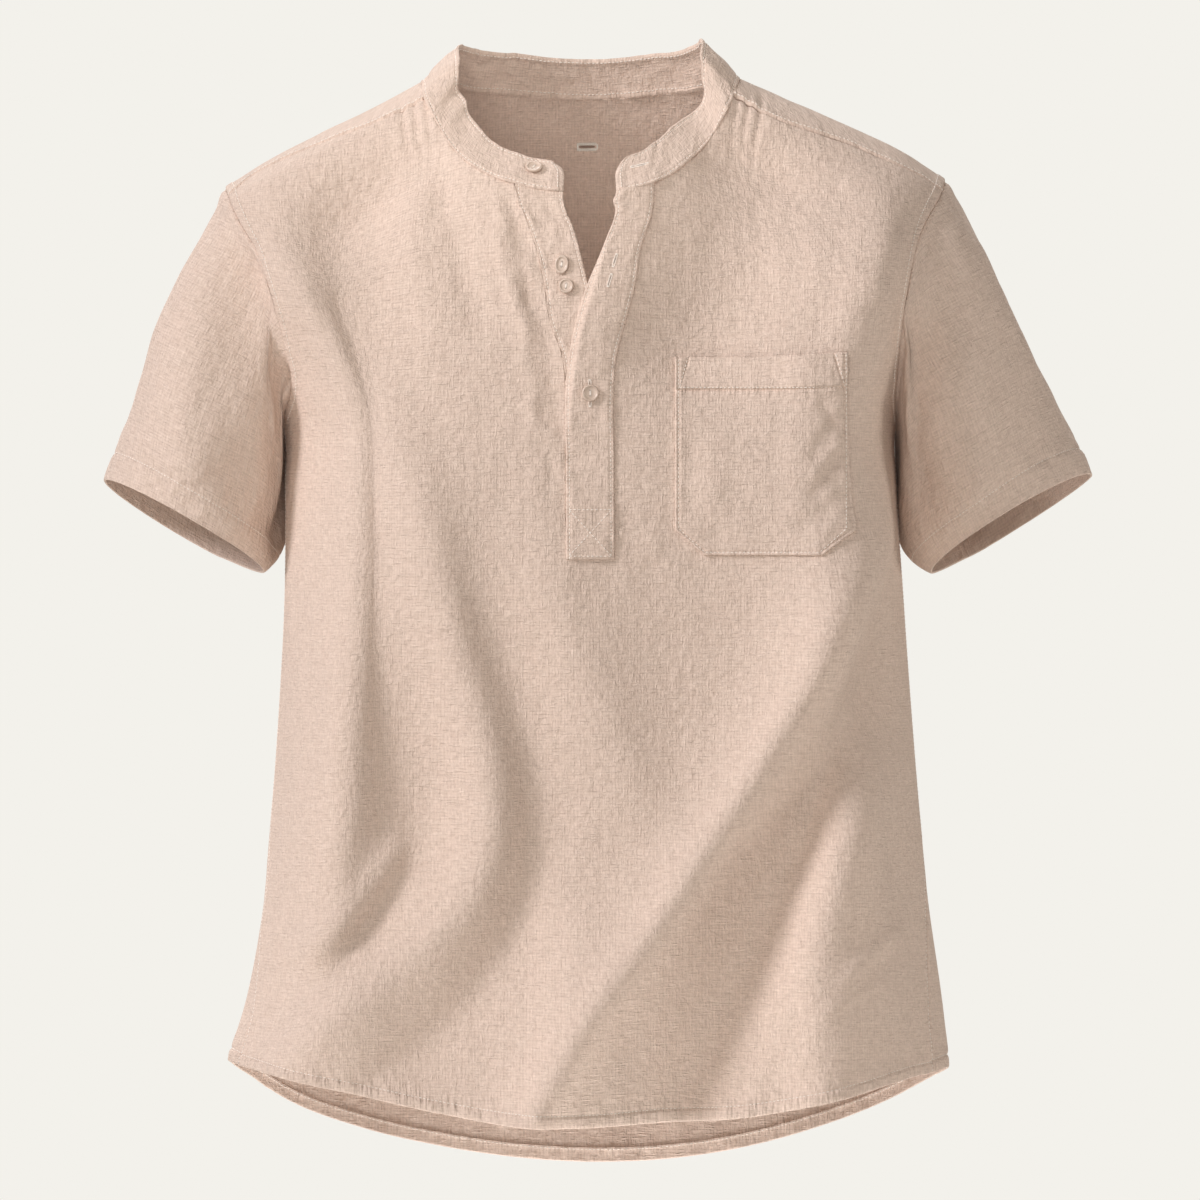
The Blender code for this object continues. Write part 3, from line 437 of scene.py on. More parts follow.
def lengths(points):
    """Running length along a line of points, or along each row of a grid."""
    steps = np.linalg.norm(np.diff(points, axis=-2), axis=-1)
    return np.concatenate([0 * steps[..., :1], np.cumsum(steps, -1)], -1)


def between(where, run, line):
    """Places on a line, at the running lengths `where`."""
    return np.stack([np.interp(where, run, column) for column in line.T], -1)

# %% Height of the folds
def fold_height(x, z, folds):
    """How far the folds move the cloth out at x, z. Each fold has its height,
    the width of its left and right flanks, and the places its crest runs through."""
    total = np.zeros(np.shape(x))
    for high, left, right, *places in folds:
        line = flow(places, FOLD_STEPS)
        run = lengths(line)
        reach = FOLD_REACH * max(left, right)
        low, far = line.min(0) - reach, line.max(0) + reach
        close = (x > low[0]) & (x < far[0]) & (z > low[1]) & (z < far[1])
        spots = np.stack([x[close], z[close]], -1)
        i = np.hypot(*(spots[:, None] - line).transpose(2, 0, 1)).argmin(1)
        k = np.clip(i, 1, len(line) - 2)
        way = unit(line[k + 1] - line[k - 1])
        gap = spots - line[i]
        along = (gap * way).sum(-1)
        off = gap[:, 1] * way[:, 0] - gap[:, 0] * way[:, 1]
        ends = (i == 0) | (i == len(line) - 1)
        away = np.where(ends, np.hypot(*gap.T), np.abs(off))
        # lines that run down have their right flank on the left of the way
        flank = np.where(off * (1 if places[-1][1] < places[0][1] else -1) > 0, right, left)
        where = np.clip((run[i] + along) / run[-1], 0, 1)
        fade = smooth(where * FOLD_ENDS) * smooth((1 - where) * FOLD_ENDS)
        total[close] += high * fade * bell(away, flank)
    return total

# %% Unrest
def unrest(u, v, size, seed, stretch=1.0):
    """Smooth seeded noise between -1 and 1, with hills about `size` across."""
    lattice = np.random.default_rng(seed).uniform(-1, 1, (LATTICE, LATTICE))
    a = np.asarray(u) / size + LATTICE_MIDDLE
    b = np.asarray(v) / (size * stretch) + LATTICE_MIDDLE
    i, j = np.floor(a).astype(int), np.floor(b).astype(int)
    s, t = a - i, b - j
    s, t = s ** 3 * (s * (6 * s - 15) + 10), t ** 3 * (t * (6 * t - 15) + 10)
    at = [[lattice[(i + p) % LATTICE, (j + q) % LATTICE] for q in (0, 1)] for p in (0, 1)]
    return ((1 - s) * (1 - t) * at[0][0] + s * (1 - t) * at[1][0]
            + (1 - s) * t * at[0][1] + s * t * at[1][1])

# %% [markdown]
# ## Folds of this shirt
# The front has one long fold from the chest pocket down to the opposite hem,
# and a shorter one that answers it from the other side. Both are drag lines,
# made by the weight hanging from the shoulders. The back gets folds of the
# same kind, placed for itself, since nothing else is sewn on there.

# %% Fold tables
LONG_CREST = [(0.167, -0.332), (0.146, -0.391), (0.119, -0.438), (0.080, -0.497),
              (0.040, -0.556), (0.001, -0.609), (-0.030, -0.665), (-0.120, -0.850)]
FRONT_FOLDS = [            # height, left flank, right flank, then the line
    # long fold from the chest to the far hem, the hollow under it, and the next
    (0.0150, 0.032, 0.028, (0.198, -0.210), (0.191, -0.270), *LONG_CREST),
    (0.0084, 0.014, 0.017, (0.205, -0.200), (0.186, -0.290), *LONG_CREST),
    (-0.0185, 0.030, 0.026, (0.222, -0.280), (0.212, -0.330), (0.194, -0.385), (0.150, -0.464),
     (0.117, -0.530), (0.090, -0.592), (0.050, -0.680), (-0.010, -0.800)),
    (0.0105, 0.024, 0.034, (0.206, -0.370), (0.196, -0.410), (0.180, -0.464), (0.165, -0.520),
     (0.158, -0.580), (0.162, -0.760)),
    # its answer on the other side, which turns back to the side seam
    (0.0122, 0.026, 0.022, (-0.146, -0.150), (-0.126, -0.225), (-0.108, -0.277), (-0.096, -0.328),
     (-0.082, -0.378), (-0.070, -0.428), (-0.067, -0.480), (-0.080, -0.524), (-0.112, -0.563),
     (-0.145, -0.592), (-0.196, -0.625), (-0.270, -0.660)),
    (-0.0080, 0.018, 0.026, (-0.084, -0.270), (-0.070, -0.332), (-0.055, -0.378), (-0.040, -0.428),
     (-0.033, -0.480), (-0.042, -0.532), (-0.060, -0.573), (-0.088, -0.610), (-0.130, -0.645),
     (-0.225, -0.710)),
    (-0.0235, 0.040, 0.054, (-0.162, 0.110), (-0.164, -0.010), (-0.163, -0.071), (-0.157, -0.142),
     (-0.151, -0.197), (-0.147, -0.269), (-0.140, -0.340), (-0.128, -0.405), (-0.122, -0.466),
     (-0.126, -0.505), (-0.150, -0.560), (-0.204, -0.612), (-0.270, -0.665)),
    (0.0075, 0.014, 0.010, (-0.112, -0.480), (-0.136, -0.515), (-0.160, -0.540), (-0.215, -0.575)),
    # from the placket's box down to the hem
    (0.0040, 0.020, 0.026, (-0.036, -0.260), (-0.024, -0.310), (0.000, -0.375), (0.028, -0.440),
     (0.040, -0.500)),
    (0.0030, 0.018, 0.020, (-0.004, -0.520), (-0.012, -0.590), (-0.046, -0.680)),
    # chest and armholes
    (-0.0065, 0.036, 0.060, (0.134, 0.030), (0.130, -0.030), (0.122, -0.080), (0.106, -0.130),
     (0.084, -0.180), (0.060, -0.230)),
    (-0.0105, 0.036, 0.050, (0.098, 0.030), (0.096, -0.020), (0.092, -0.070), (0.080, -0.115),
     (0.060, -0.160), (0.036, -0.215)),
    (-0.0030, 0.016, 0.018, (0.174, -0.050), (0.170, -0.090), (0.160, -0.140), (0.146, -0.180)),
    (0.0085, 0.034, 0.024, (0.200, 0.040), (0.196, -0.050), (0.190, -0.120), (0.188, -0.200),
     (0.186, -0.270), (0.174, -0.330), (0.150, -0.450)),
    (0.0042, 0.0025, 0.030, (0.027, 0.010), (0.017, -0.070), (0.009, -0.110), (-0.005, -0.160),
     (-0.013, -0.240)),
    (-0.0016, 0.006, 0.008, (-0.052, -0.058), (-0.043, -0.100), (-0.030, -0.150), (-0.021, -0.215)),
    (0.0014, 0.006, 0.008, (-0.064, -0.054), (-0.056, -0.110), (-0.040, -0.180), (-0.030, -0.240)),
    (-0.0030, 0.010, 0.012, (-0.104, -0.020), (-0.096, -0.060), (-0.084, -0.100), (-0.066, -0.170)),
    (0.0022, 0.014, 0.012, (-0.120, -0.030), (-0.118, -0.080), (-0.106, -0.140), (-0.092, -0.210)),
    # creases that stay from folding
    (0.0034, 0.006, 0.005, (0.222, -0.545), (0.196, -0.560), (0.160, -0.590)),
    (0.0020, 0.004, 0.004, (0.205, -0.580), (0.176, -0.592), (0.150, -0.606)),
    (0.00035, 0.0018, 0.0014, (-0.205, -0.240), (-0.100, -0.2412), (-0.015, -0.2408)),
]
BACK_FOLDS = [
    (-0.0110, 0.030, 0.036, (0.052, -0.250), (0.066, -0.340), (0.092, -0.500), (0.120, -0.700)),
    (0.0085, 0.032, 0.022, (0.004, -0.230), (-0.006, -0.360), (0.004, -0.520), (0.030, -0.710)),
    (-0.0100, 0.030, 0.026, (-0.070, -0.230), (-0.094, -0.350), (-0.104, -0.480), (-0.074, -0.700)),
    (0.0070, 0.022, 0.028, (0.140, -0.215), (0.160, -0.330), (0.172, -0.460), (0.196, -0.620)),
    (0.0060, 0.026, 0.020, (-0.140, -0.230), (-0.168, -0.360), (-0.176, -0.480), (-0.160, -0.650)),
    (-0.0036, 0.020, 0.022, (0.030, -0.090), (0.044, -0.160), (0.054, -0.260), (0.046, -0.360)),
    (-0.0036, 0.016, 0.018, (-0.166, -0.100), (-0.130, -0.160), (-0.080, -0.205), (-0.040, -0.230)),
    (-0.0034, 0.018, 0.016, (0.176, -0.110), (0.140, -0.170), (0.090, -0.220), (0.060, -0.240)),
    (0.0022, 0.010, 0.008, (-0.120, -0.540), (-0.060, -0.566), (-0.010, -0.610)),
]

# %% Gathers and crumple
# small pleats under the shoulder seam, by the neck
GATHERS_LEFT = (-0.1005, -0.1075, -0.1150, -0.1230)
GATHERS_RIGHT = (0.0990, 0.1060, 0.1140)
GATHER_DEEP, GATHER_WIDE, GATHER_LONG = 0.0017, 0.0018, 0.026
# small sharp unrest where cloth is drawn together: place, reach both ways, height
CRUMPLED = [(-0.042, -0.120, 0.018, 0.080, 0.0020), (-0.024, -0.235, 0.022, 0.040, 0.0013),
            (0.030, -0.285, 0.030, 0.030, 0.0010), (0.165, -0.225, 0.016, 0.060, 0.0016),
            (0.060, -0.300, 0.020, 0.016, 0.0010), (-0.195, -0.150, 0.014, 0.060, 0.0010),
            (0.196, -0.150, 0.014, 0.070, 0.0010)]


def gathers(x, z):
    """Short pleats that fall from the shoulder seam next to the collar."""
    total = np.zeros(np.shape(x))
    for middle, top in ([(m, -0.002) for m in GATHERS_LEFT]
                        + [(m, 0.0) for m in GATHERS_RIGHT]):
        drop = (top - abs(middle) * 0.05) - z
        sway = middle * (1 - 0.35 * np.clip(drop, 0, 1))
        fade = smooth((drop + 0.012) / 0.012) * bell(np.clip(drop, 0, 1), GATHER_LONG)
        total = total - GATHER_DEEP * fade * bell(x - sway, GATHER_WIDE)
    return total


def crumple(x, z):
    """The small sharp unrest."""
    total = np.zeros(np.shape(x))
    for a, b, wide, tall, high in CRUMPLED:
        near = bell(x - a, wide) * bell(z - b, tall)
        total = total + near * high * (unrest(x + 0.35 * z, z, 0.0085, 51, 2.2)
                                       + 0.5 * unrest(x - 0.5 * z, z, 0.005, 52, 1.6))
    return total

# %% All unevenness together
FRONT_SET_BACK = 0.0090    # makes room for the crests of the front's folds
CALM_AROUND = 0.45         # radians over which folds fade towards the side seams
CALM_SHOULDER, CALM_OVER = 0.42, 0.60   # and towards the shoulder seams
SEAM_CALM = 0.10           # the small unrest reaches nearly to a side seam
BROAD_UNREST, FINE_UNREST = 0.0011, 0.00035


def relief(pairs, side, base, marks):
    """Height of all folds over the form, fading out at the sides and the ridge."""
    around, over = pairs[..., 0], pairs[..., 1]
    swapped = (np.abs(around) > math.pi / 2) ^ (over > math.pi / 2)
    in_front = np.where(swapped, side > 0, side < 0)
    x, z = base[..., 0], base[..., 2]
    height = np.where(in_front, fold_height(x, z, FRONT_FOLDS), fold_height(x, z, BACK_FOLDS))
    from_side = np.abs(np.abs(around) - math.pi / 2)
    from_ridge = np.abs(over - math.pi / 2)
    calm = smooth(from_side / CALM_AROUND) * smooth((from_ridge - CALM_SHOULDER) / CALM_OVER)
    small = smooth(from_side / SEAM_CALM)
    u, v = marks[..., 0], marks[..., 1]
    low = smooth((-0.22 - z) / 0.3)
    height = (height - np.where(in_front, FRONT_SET_BACK, 0)) * calm
    height += small * (BROAD_UNREST * unrest(u, v, 0.045, 3 + side, 1.8) * (0.5 + low)
                       + FINE_UNREST * unrest(u, v, 0.014, 7 + side, 1.5))
    return height + small * np.where(in_front, gathers(x, z) + crumple(x, z), 0)

# %% [markdown]
# ## From edges to sheets
# A panel is a patch between its seams. Its threads are blended from the four
# edges, in angles, and then laid on the form. The grid is denser at seams and
# hems, where cloth turns quickly, and wider on the open panel.

# %% Edges and patches
def spaced(line, side, stops):
    """An edge of angles, divided at shares of its length."""
    run = lengths(form(line, side))
    return between(stops * run[-1], run, line)


def graded(length, cell, start, end, fine=0.0006, growth=0.22, first=0.0):
    """Distances along a panel: cells are fine near its ends and `cell` wide
    between. `start` and `end` say how far the fine cells reach."""
    marks = [first]
    while marks[-1] < length:
        p = marks[-1]
        size = min(cell, fine + growth * max(0, p - start),
                   fine + growth * max(0, length - end - p))
        marks.append(p + size)
    marks = np.array(marks)
    return first + (marks - first) * (length - first) / (marks[-1] - first)


def patch(bottom, top, left, right, u, v):
    """A grid of pairs of angles between four edges, at the shares u and v."""
    u, v = u[None, :, None], v[:, None, None]
    return ((1 - v) * bottom[None] + v * top[None] + (1 - u) * left[:, None]
            + u * right[:, None] - (1 - u) * (1 - v) * bottom[0]
            - u * (1 - v) * bottom[-1] - (1 - u) * v * top[0] - u * v * top[-1])

# %% Points named on the other panel
def on_back(rows):
    pairs = []
    for x, z, face in rows:
        around, over = angles(x, z, face)
        pairs.append((around, math.pi - over if face < 0 else over))
    return pairs


def to_back(pairs, beyond):
    """The same points named on the other panel, past the side or the ridge."""
    pairs = pairs.copy()
    if beyond == "side":
        pairs[:, 0] = np.sign(pairs[:, 0]) * math.pi - pairs[:, 0]
    else:
        pairs[:, 1] = math.pi - pairs[:, 1]
    return pairs


neck_line = flow(NECK_FRONT, 3 * FINE)


def neck_height(x):
    return np.interp(x, neck_line[:, 0], neck_line[:, 1])

# %% Side, hem and neck edges
def side_edge(name, sign):
    """The side seam from hem to underarm, as angles on the front."""
    low = float(HEM.at("front", sign * SECTIONS.at(name, -0.640)))
    z = np.linspace(low, UNDERARM_HEIGHT, FINE)
    turn = SEAM_TURN * smooth((SEAM_TURN_FROM - z) / (SEAM_TURN_FROM - SEAM_TURN_TO))
    around = sign * (math.pi / 2 - turn * (1.0 if sign > 0 else SEAM_TURN_LEFT))
    x = power(np.sin(around)) * half_width(around, z)
    return np.stack([around, 1 - (ridge_height(x) - z) / SHOULDER_ROUND], -1)


def hem_edge(start, end, column):
    around = np.linspace(start, end, FINE)
    z = HEM.at(column, power(np.sin(around)) * half_width(around, -0.66))
    for _ in range(HEM_TRIES):
        x = power(np.sin(around)) * half_width(around, z)
        z = HEM.at(column, x)
    return np.stack([around, 1 - (ridge_height(x) - z) / SHOULDER_ROUND], -1)


def nearest(line, pair):
    return int(np.abs(line - pair).sum(-1).argmin())

# %% Edges of the four half panels
EDGES = {}
for name, sign in SIDES:
    neck_x, arm_x, arm_z = FRONT_CORNER[name]
    seam = side_edge(name, sign)
    shoulder = angles(*flow(SHOULDER[name], FINE).T)
    # front: the slit's edge is where its strip is sewn on
    column, lap = ("under_seam", 0.0) if sign < 0 else ("over_outer", PLACKET_LAP)
    top_z = NECK_LEVEL
    for _ in range(SLIT_TRIES):
        top_z = float(neck_height(PLACKET.at(column, top_z) - lap))
    low = np.linspace(float(HEM.at("front", 0.0)), SLIT_BOTTOM, FINE)
    high = np.linspace(SLIT_CORNER, top_z, FINE)
    top_x = float(PLACKET.at(column, top_z)) - lap
    neck = neck_line[(neck_line[:, 0] - top_x) * sign > 0][::sign]
    neck = angles(*np.concatenate([[(top_x, top_z)], neck]).T)
    turn = int(np.abs(form(neck, -1)[:, 0] - neck_x).argmin())
    arm = flow([seam[-1]] + [angles(x, z) for x, z in ARMHOLE_FRONT[name]], 2 * FINE)
    bend = nearest(arm, angles(arm_x, arm_z))
    EDGES["front", name] = dict(
        bottom=hem_edge(0.0, seam[0, 0], "front"),
        low=angles(np.zeros(FINE), low),
        high=np.concatenate([angles([0.0], [SLIT_BOTTOM]),
                             angles(PLACKET.at(column, high) - lap, high)]),
        neck=neck[:turn + 1], neck_side=np.concatenate([neck[turn:-1], shoulder[:1]]),
        outer=np.concatenate([seam, arm[1:bend + 1]]), arm_high=arm[bend:],
        shoulder=shoulder, seam=seam, arm=arm)
    # back: it meets the front at the side, and past the shoulder ridge
    rows = ARMHOLE_BACK[name]
    seam, shoulder = to_back(seam, "side"), to_back(shoulder, "ridge")
    arm = flow([seam[-1]] + on_back(rows), 2 * FINE)
    arm[-1] = shoulder[-1]
    bend = nearest(arm, on_back(rows[4:5])[0])
    neck = flow(on_back(NECK_BACK[name]), 2 * FINE)
    neck[-1] = shoulder[0]
    turn = nearest(neck, on_back(NECK_BACK[name][3:4])[0])
    low = np.linspace(float(HEM.at("back", 0.0)), NECK_BACK[name][0][1], FINE)
    EDGES["back", name] = dict(
        bottom=hem_edge(0.0, seam[0, 0], "back"), low=angles(np.zeros(FINE), low), high=None,
        neck=neck[:turn + 1], neck_side=neck[turn:],
        outer=np.concatenate([seam, arm[1:bend + 1]]), arm_high=arm[bend:],
        shoulder=shoulder, seam=seam, arm=arm)
print("edges:", len(EDGES), "half panels")

# %% [markdown]
# ## Hems
# A shirt hem is turned twice and stitched near its inner fold. Seen from
# outside it is a round edge, slightly fuller than the cloth above, then a
# fine ditch where the thread pulls it in. So the sheet is not cut off at the
# bottom: it goes round the fold and back up on the inside.

# %% A turned hem
CLOTH = 0.0005             # one layer of linen
FOLD_ROUND = 0.00085       # radius of a turned edge
HEM_DEEP = 0.008           # body hem, from the edge to its stitches
CUFF_DEEP = 0.019
HEM_FULL, HEM_DITCH, HEM_WAVE = 0.00060, 0.00080, 0.0009
FINE_PUCKER, BROAD_PUCKER = 0.00090, 0.00070


def turned_rows(deep):
    """Rows of a turned edge: how far up the panel, and how far inside it."""
    rows = [(deep * 1.03, CLOTH + 0.0002), (deep * 0.98, CLOTH + 0.0005)]
    rows += [(deep * s, FOLD_ROUND * t) for s, t in (
        (0.86, 1.2), (0.66, 1.5), (0.45, 1.9), (0.28, 2.0), (0.16, 2.0))]
    for t in np.linspace(0, math.pi, 7)[:-1]:
        rows.append((FOLD_ROUND * (1 - math.sin(t)), FOLD_ROUND * (1 + math.cos(t))))
    return np.array(rows)


def hem_relief(up, run, deep, seed):
    """Fullness, stitch ditch and waves of a hem; `up` is the distance from its edge."""
    full = HEM_FULL * np.sin(math.pi * np.clip(up / deep, 0, 1)) ** 0.7
    ditch = -HEM_DITCH * bell(up - deep, 0.0010)
    near = np.exp(-np.abs(up - deep * 0.8) / 0.009)
    slant = run + 0.6 * up
    pucker = (unrest(slant, up, 0.0048, seed, 4.0) * FINE_PUCKER
              + unrest(slant, up, 0.015, seed + 1, 3.0) * BROAD_PUCKER)
    wave = HEM_WAVE * unrest(run, up, 0.045, seed + 2, 2.0) * np.exp(-np.clip(up, 0, 1) / 0.030)
    return full + ditch + pucker * near + wave

# %% [markdown]
# ## Laying a grid
# Every sheet starts as a flat grid. Its points are then put where the cloth
# goes, and its map is written while rows and columns are still known. A grid
# that comes out facing the body is turned round at once.

# %% Lay a grid and make a piece
def normals_of(points):
    """Unit normals of a grid of points."""
    across, up = np.gradient(points, axis=1), np.gradient(points, axis=0)
    normal = np.cross(across, up)
    size = np.linalg.norm(normal, axis=-1, keepdims=True)
    return normal / np.maximum(size, 1e-12)


def new_cloth():
    mesh = bmesh.new()
    mesh.loops.layers.uv.new("cloth")
    for name in ("gather_u", "gather_v"):
        mesh.verts.layers.float.new(name)
    return mesh


def lay_grid(mesh, grid, middle):
    """Add a grid of cloth: its points, marks (weft, warp), and puckers at seams that
    run across and along. `middle` is a point, or one per row, inside the piece."""
    points = grid["points"]
    rows, columns = points.shape[:2]
    uv = mesh.loops.layers.uv["cloth"]
    layers = [mesh.verts.layers.float[n] for n in ("gather_u", "gather_v")]
    made = bmesh.ops.create_grid(mesh, x_segments=columns - 1, y_segments=rows - 1,
                                 size=1.0)["verts"]
    place, faces = {}, set()
    for vert in made:
        c = round((vert.co.x + 1) / 2 * (columns - 1))
        r = round((vert.co.y + 1) / 2 * (rows - 1))
        place[vert] = (r, c)
        faces.update(vert.link_faces)
    for vert, spot in place.items():
        vert.co = points[spot]
        vert[layers[0]], vert[layers[1]] = grid["gather"][spot]
    for face in faces:
        for loop in face.loops:
            loop[uv].uv = grid["marks"][place[loop.vert]]
    middle = np.broadcast_to(np.asarray(middle, float), (rows, 3))[:, None]
    if (normals_of(points) * (points - middle)).sum() < 0:
        bmesh.ops.reverse_faces(mesh, faces=list(faces))


def flat_area(marks):
    """Area of a grid before it was hung, from its grain."""
    a, b = marks[1:, 1:] - marks[:-1, :-1], marks[1:, :-1] - marks[:-1, 1:]
    return float(np.abs(a[..., 0] * b[..., 1] - a[..., 1] * b[..., 0]).sum() / 2)


def take(piece, node=None):
    """Hand a piece to the frame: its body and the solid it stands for."""
    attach(piece, "root")
    if node:
        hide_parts(node)


def make_piece(name, grids, middle, node, thick=CLOTH, bevel=0.0):
    """Lay grids in one mesh and make it a piece of cloth that stands for a solid."""
    mesh = new_cloth()
    for grid in grids:
        lay_grid(mesh, grid, middle)
    bmesh.ops.remove_doubles(mesh, verts=mesh.verts, dist=3e-6)
    data = baked(name, mesh)
    data.shade_smooth()
    data.materials.append(LINEN)
    piece = placed(name, data)
    wall = piece.modifiers.new("thickness", "SOLIDIFY")
    wall.thickness, wall.offset = thick, -1.0
    if bevel:
        edge = piece.modifiers.new("edge", "BEVEL")
        edge.width, edge.segments, edge.limit_method = bevel, 2, "ANGLE"
        edge.angle_limit = math.radians(50)
    take(piece, node)
    print(name, len(data.polygons), "faces")

# %% [markdown]
# ## Linen
# Linen yarn is uneven, so the cloth is never one colour. Here each direction
# of thread gets its own streaky noise, long one way and a thread wide the
# other. Where they cross, a fine check decides which thread lies on top. The
# same fields drive the bump. Slubs are the few thick places in a yarn. All of
# it reads the map in metres, so a thread has the same size on every piece.

# %% Fields and their mixtures
def streaks(tree, where, wide, long, detail=2.0, turn=0.0, shift=(0, 0, 0)):
    """Noise that is `wide` metres across and `long` metres along."""
    scaled = put(tree, "Mapping", Vector=where, Scale=(1 / wide, 1 / long, 1),
                 Rotation=(0, 0, turn), Location=shift)
    return put(tree, "TexNoise", Vector=scaled.outputs[0], Scale=1.0, Detail=detail,
               Roughness=0.55).outputs[0]


def mixture(tree, parts):
    """The sum of fields, each given with its weight and an offset."""
    total = None
    for field, weight, offset in parts:
        part = sums(tree, "MULTIPLY_ADD", field, weight, offset)
        total = part if total is None else sums(tree, "ADD", total, part)
    return total


def mixed(tree, share, first, second):
    return put(tree, "Mix", data_type="RGBA", i0=share, i6=first, i7=second).outputs[2]


def dress(tree, shader, colour, height):
    """Give a shader its colour, and a bump of some height in metres."""
    tree.links.new(colour, shader.inputs["Base Color"])
    bump = put(tree, "Bump", Height=height, Distance=1.0)
    tree.links.new(bump.outputs["Normal"], shader.inputs["Normal"])

# %% Linen material
YARN, GRID = 0.00100, 0.0021   # width of a thread pair, and of the visible check
DARK_YARN = (0.540, 0.415, 0.345, 1)
LIGHT_YARN = (0.930, 0.765, 0.665, 1)
PINK = (1.0, 0.965, 0.945, 1)
GREIGE = (0.985, 0.975, 0.945, 1)
MIDDLE_TONE = 0.47             # between the dark yarn and the light one
SLUB_FROM, SLUB_TO = 0.53, 0.70
PUCKER_HEIGHT = 0.0026
PUCKERS = (("gather_u", 0.0030, 0.016, 0.45), ("gather_v", 0.014, 0.0034, 0.35))


def linen(name):
    made, tree, shader = material(
        name, Roughness=0.92, Specular_IOR_Level=0.18, Sheen_Weight=0.10,
        Sheen_Roughness=0.55, Sheen_Tint=(1.0, 0.93, 0.87, 1))
    where = put(tree, "UVMap", uv_map="cloth").outputs[0]
    ways = put(tree, "SeparateXYZ", Vector=where).outputs

    # threads: one field across, one along, and which of them is on top
    warp = streaks(tree, where, YARN, 0.005, 2.5)
    weft = streaks(tree, where, 0.006, YARN, 2.5)
    broad_warp = streaks(tree, where, 0.0030, 0.022, 2.0, shift=(7, 3, 0))
    broad_weft = streaks(tree, where, 0.022, 0.0030, 2.0, shift=(2, 9, 0))
    check = sums(tree, "ADD", *(
        sums(tree, "SINE", sums(tree, "MULTIPLY", way, 2 * math.pi / GRID)) for way in ways[:2]))
    # slubs: rare long bright places
    slub_warp, slub_weft = (
        put(tree, "MapRange", Value=streaks(tree, where, wide, long, 1.5, shift=shift),
            From_Min=SLUB_FROM, From_Max=SLUB_TO, interpolation_type="SMOOTHSTEP").outputs[0]
        for wide, long, shift in ((0.0013, 0.0065, (31, 5, 0)), (0.0085, 0.0013, (4, 27, 0))))
    slubs = sums(tree, "MAXIMUM", sums(tree, "MULTIPLY", slub_warp, 0.7), slub_weft)
    mottle = streaks(tree, where, 0.0030, 0.0036, 4.0, shift=(11, 2, 0))

    tone = mixture(tree, (
        (warp, 0.70, -0.35), (weft, 0.70, -0.35), (broad_warp, 0.24, -0.12),
        (broad_weft, 0.24, -0.12), (mottle, 0.26, -0.13), (check, 0.050, 0), (slubs, 0.14, 0)))
    tone = put(tree, "Math", operation="ADD", use_clamp=True, i0=tone, i1=MIDDLE_TONE).outputs[0]
    yarn = mixed(tree, tone, DARK_YARN, LIGHT_YARN)
    shade = mixed(tree, streaks(tree, where, 0.010, 0.014, 3.0), PINK, GREIGE)
    colour = put(tree, "Mix", data_type="RGBA", blend_type="MULTIPLY", i0=1.0, i6=yarn, i7=shade)

    # height in metres: threads, slubs, soft crumple, and puckers at the seams
    height = mixture(tree, (
        (warp, 0.00022, 0), (weft, 0.00026, 0), (check, 0.000022, 0), (slubs, 0.00031, 0),
        (streaks(tree, where, 0.0055, 0.0075, 3.5), 0.00150, 0),
        (streaks(tree, where, 0.022, 0.032, 2.0), 0.0012, 0)))
    for layer, wide, long, turn in PUCKERS:
        amount = put(tree, "Attribute", attribute_name=layer).outputs["Fac"]
        ripple = streaks(tree, where, wide, long, 1.0, turn=turn)
        height = sums(tree, "ADD", height, sums(
            tree, "MULTIPLY", amount, sums(tree, "MULTIPLY", ripple, PUCKER_HEIGHT)))
    dress(tree, shader, colour.outputs[2], height)
    return made


LINEN = linen("linen")
print("linen nodes:", len(LINEN.node_tree.nodes))

# %% [markdown]
# ## Seams
# Two panels meet in a ditch. Where a seam is felled, the doubled cloth beside
# it makes a low ridge, held by a second row of stitches. The thread draws the
# cloth together, so it puckers on both sides. Distances to each seam give all
# three. They are measured on the plain form, before any fold.

# %% Distance to a seam, and what it does to the cloth
def from_line(points, line):
    """Distance from each point to a line, and how far along it that is."""
    tree = KDTree(len(line))
    for i, spot in enumerate(line):
        tree.insert(spot, i)
    tree.balance()
    flat = points.reshape(-1, 3)
    hit = np.array([tree.find(p)[1] for p in flat])
    run = lengths(line)
    best, where = np.full(len(flat), 9.0), np.zeros(len(flat))
    for start in (np.clip(hit - 1, 0, len(line) - 2), np.clip(hit, 0, len(line) - 2)):
        a, b = line[start], line[start + 1]
        size = np.maximum(((b - a) ** 2).sum(-1), 1e-14)
        share = np.clip(((flat - a) * (b - a)).sum(-1) / size, 0, 1)
        gap = np.linalg.norm(flat - a - (b - a) * share[:, None], axis=-1)
        closer = gap < best
        best = np.where(closer, gap, best)
        where = np.where(closer, run[start] + share * np.sqrt(size), where)
    return best.reshape(points.shape[:-1]), where.reshape(points.shape[:-1])


DITCH, DITCH_WIDE = 0.0014, 0.0011
NECK_DITCH = 0.0004
ARM_FELL, SIDE_FELL, SHOULDER_FELL = 0.00055, 0.00030, 0.00025   # ridges of doubled cloth
FELL_WIDE = 0.0066         # from a seam to its second row of stitches
PUCKER_REACH = 0.0075


def seam_relief(points, seams):
    """Height and puckers near seams given as (line, ditch, ridge, along weft, along warp)."""
    height = np.zeros(points.shape[:-1])
    gather = np.zeros(points.shape[:-1] + (2,))
    for line, ditch, ridge, along_weft, along_warp in seams:
        far, run = from_line(points, line)
        height -= ditch * bell(far, DITCH_WIDE)
        height += ridge * smooth(far / 0.0012) * smooth((FELL_WIDE + 0.0006 - far) / 0.0014)
        near = bell(far, PUCKER_REACH) * (0.6 + 0.4 * unrest(run, far, 0.02, 21))
        gather += near[..., None] * (along_weft, along_warp)
    return height, gather

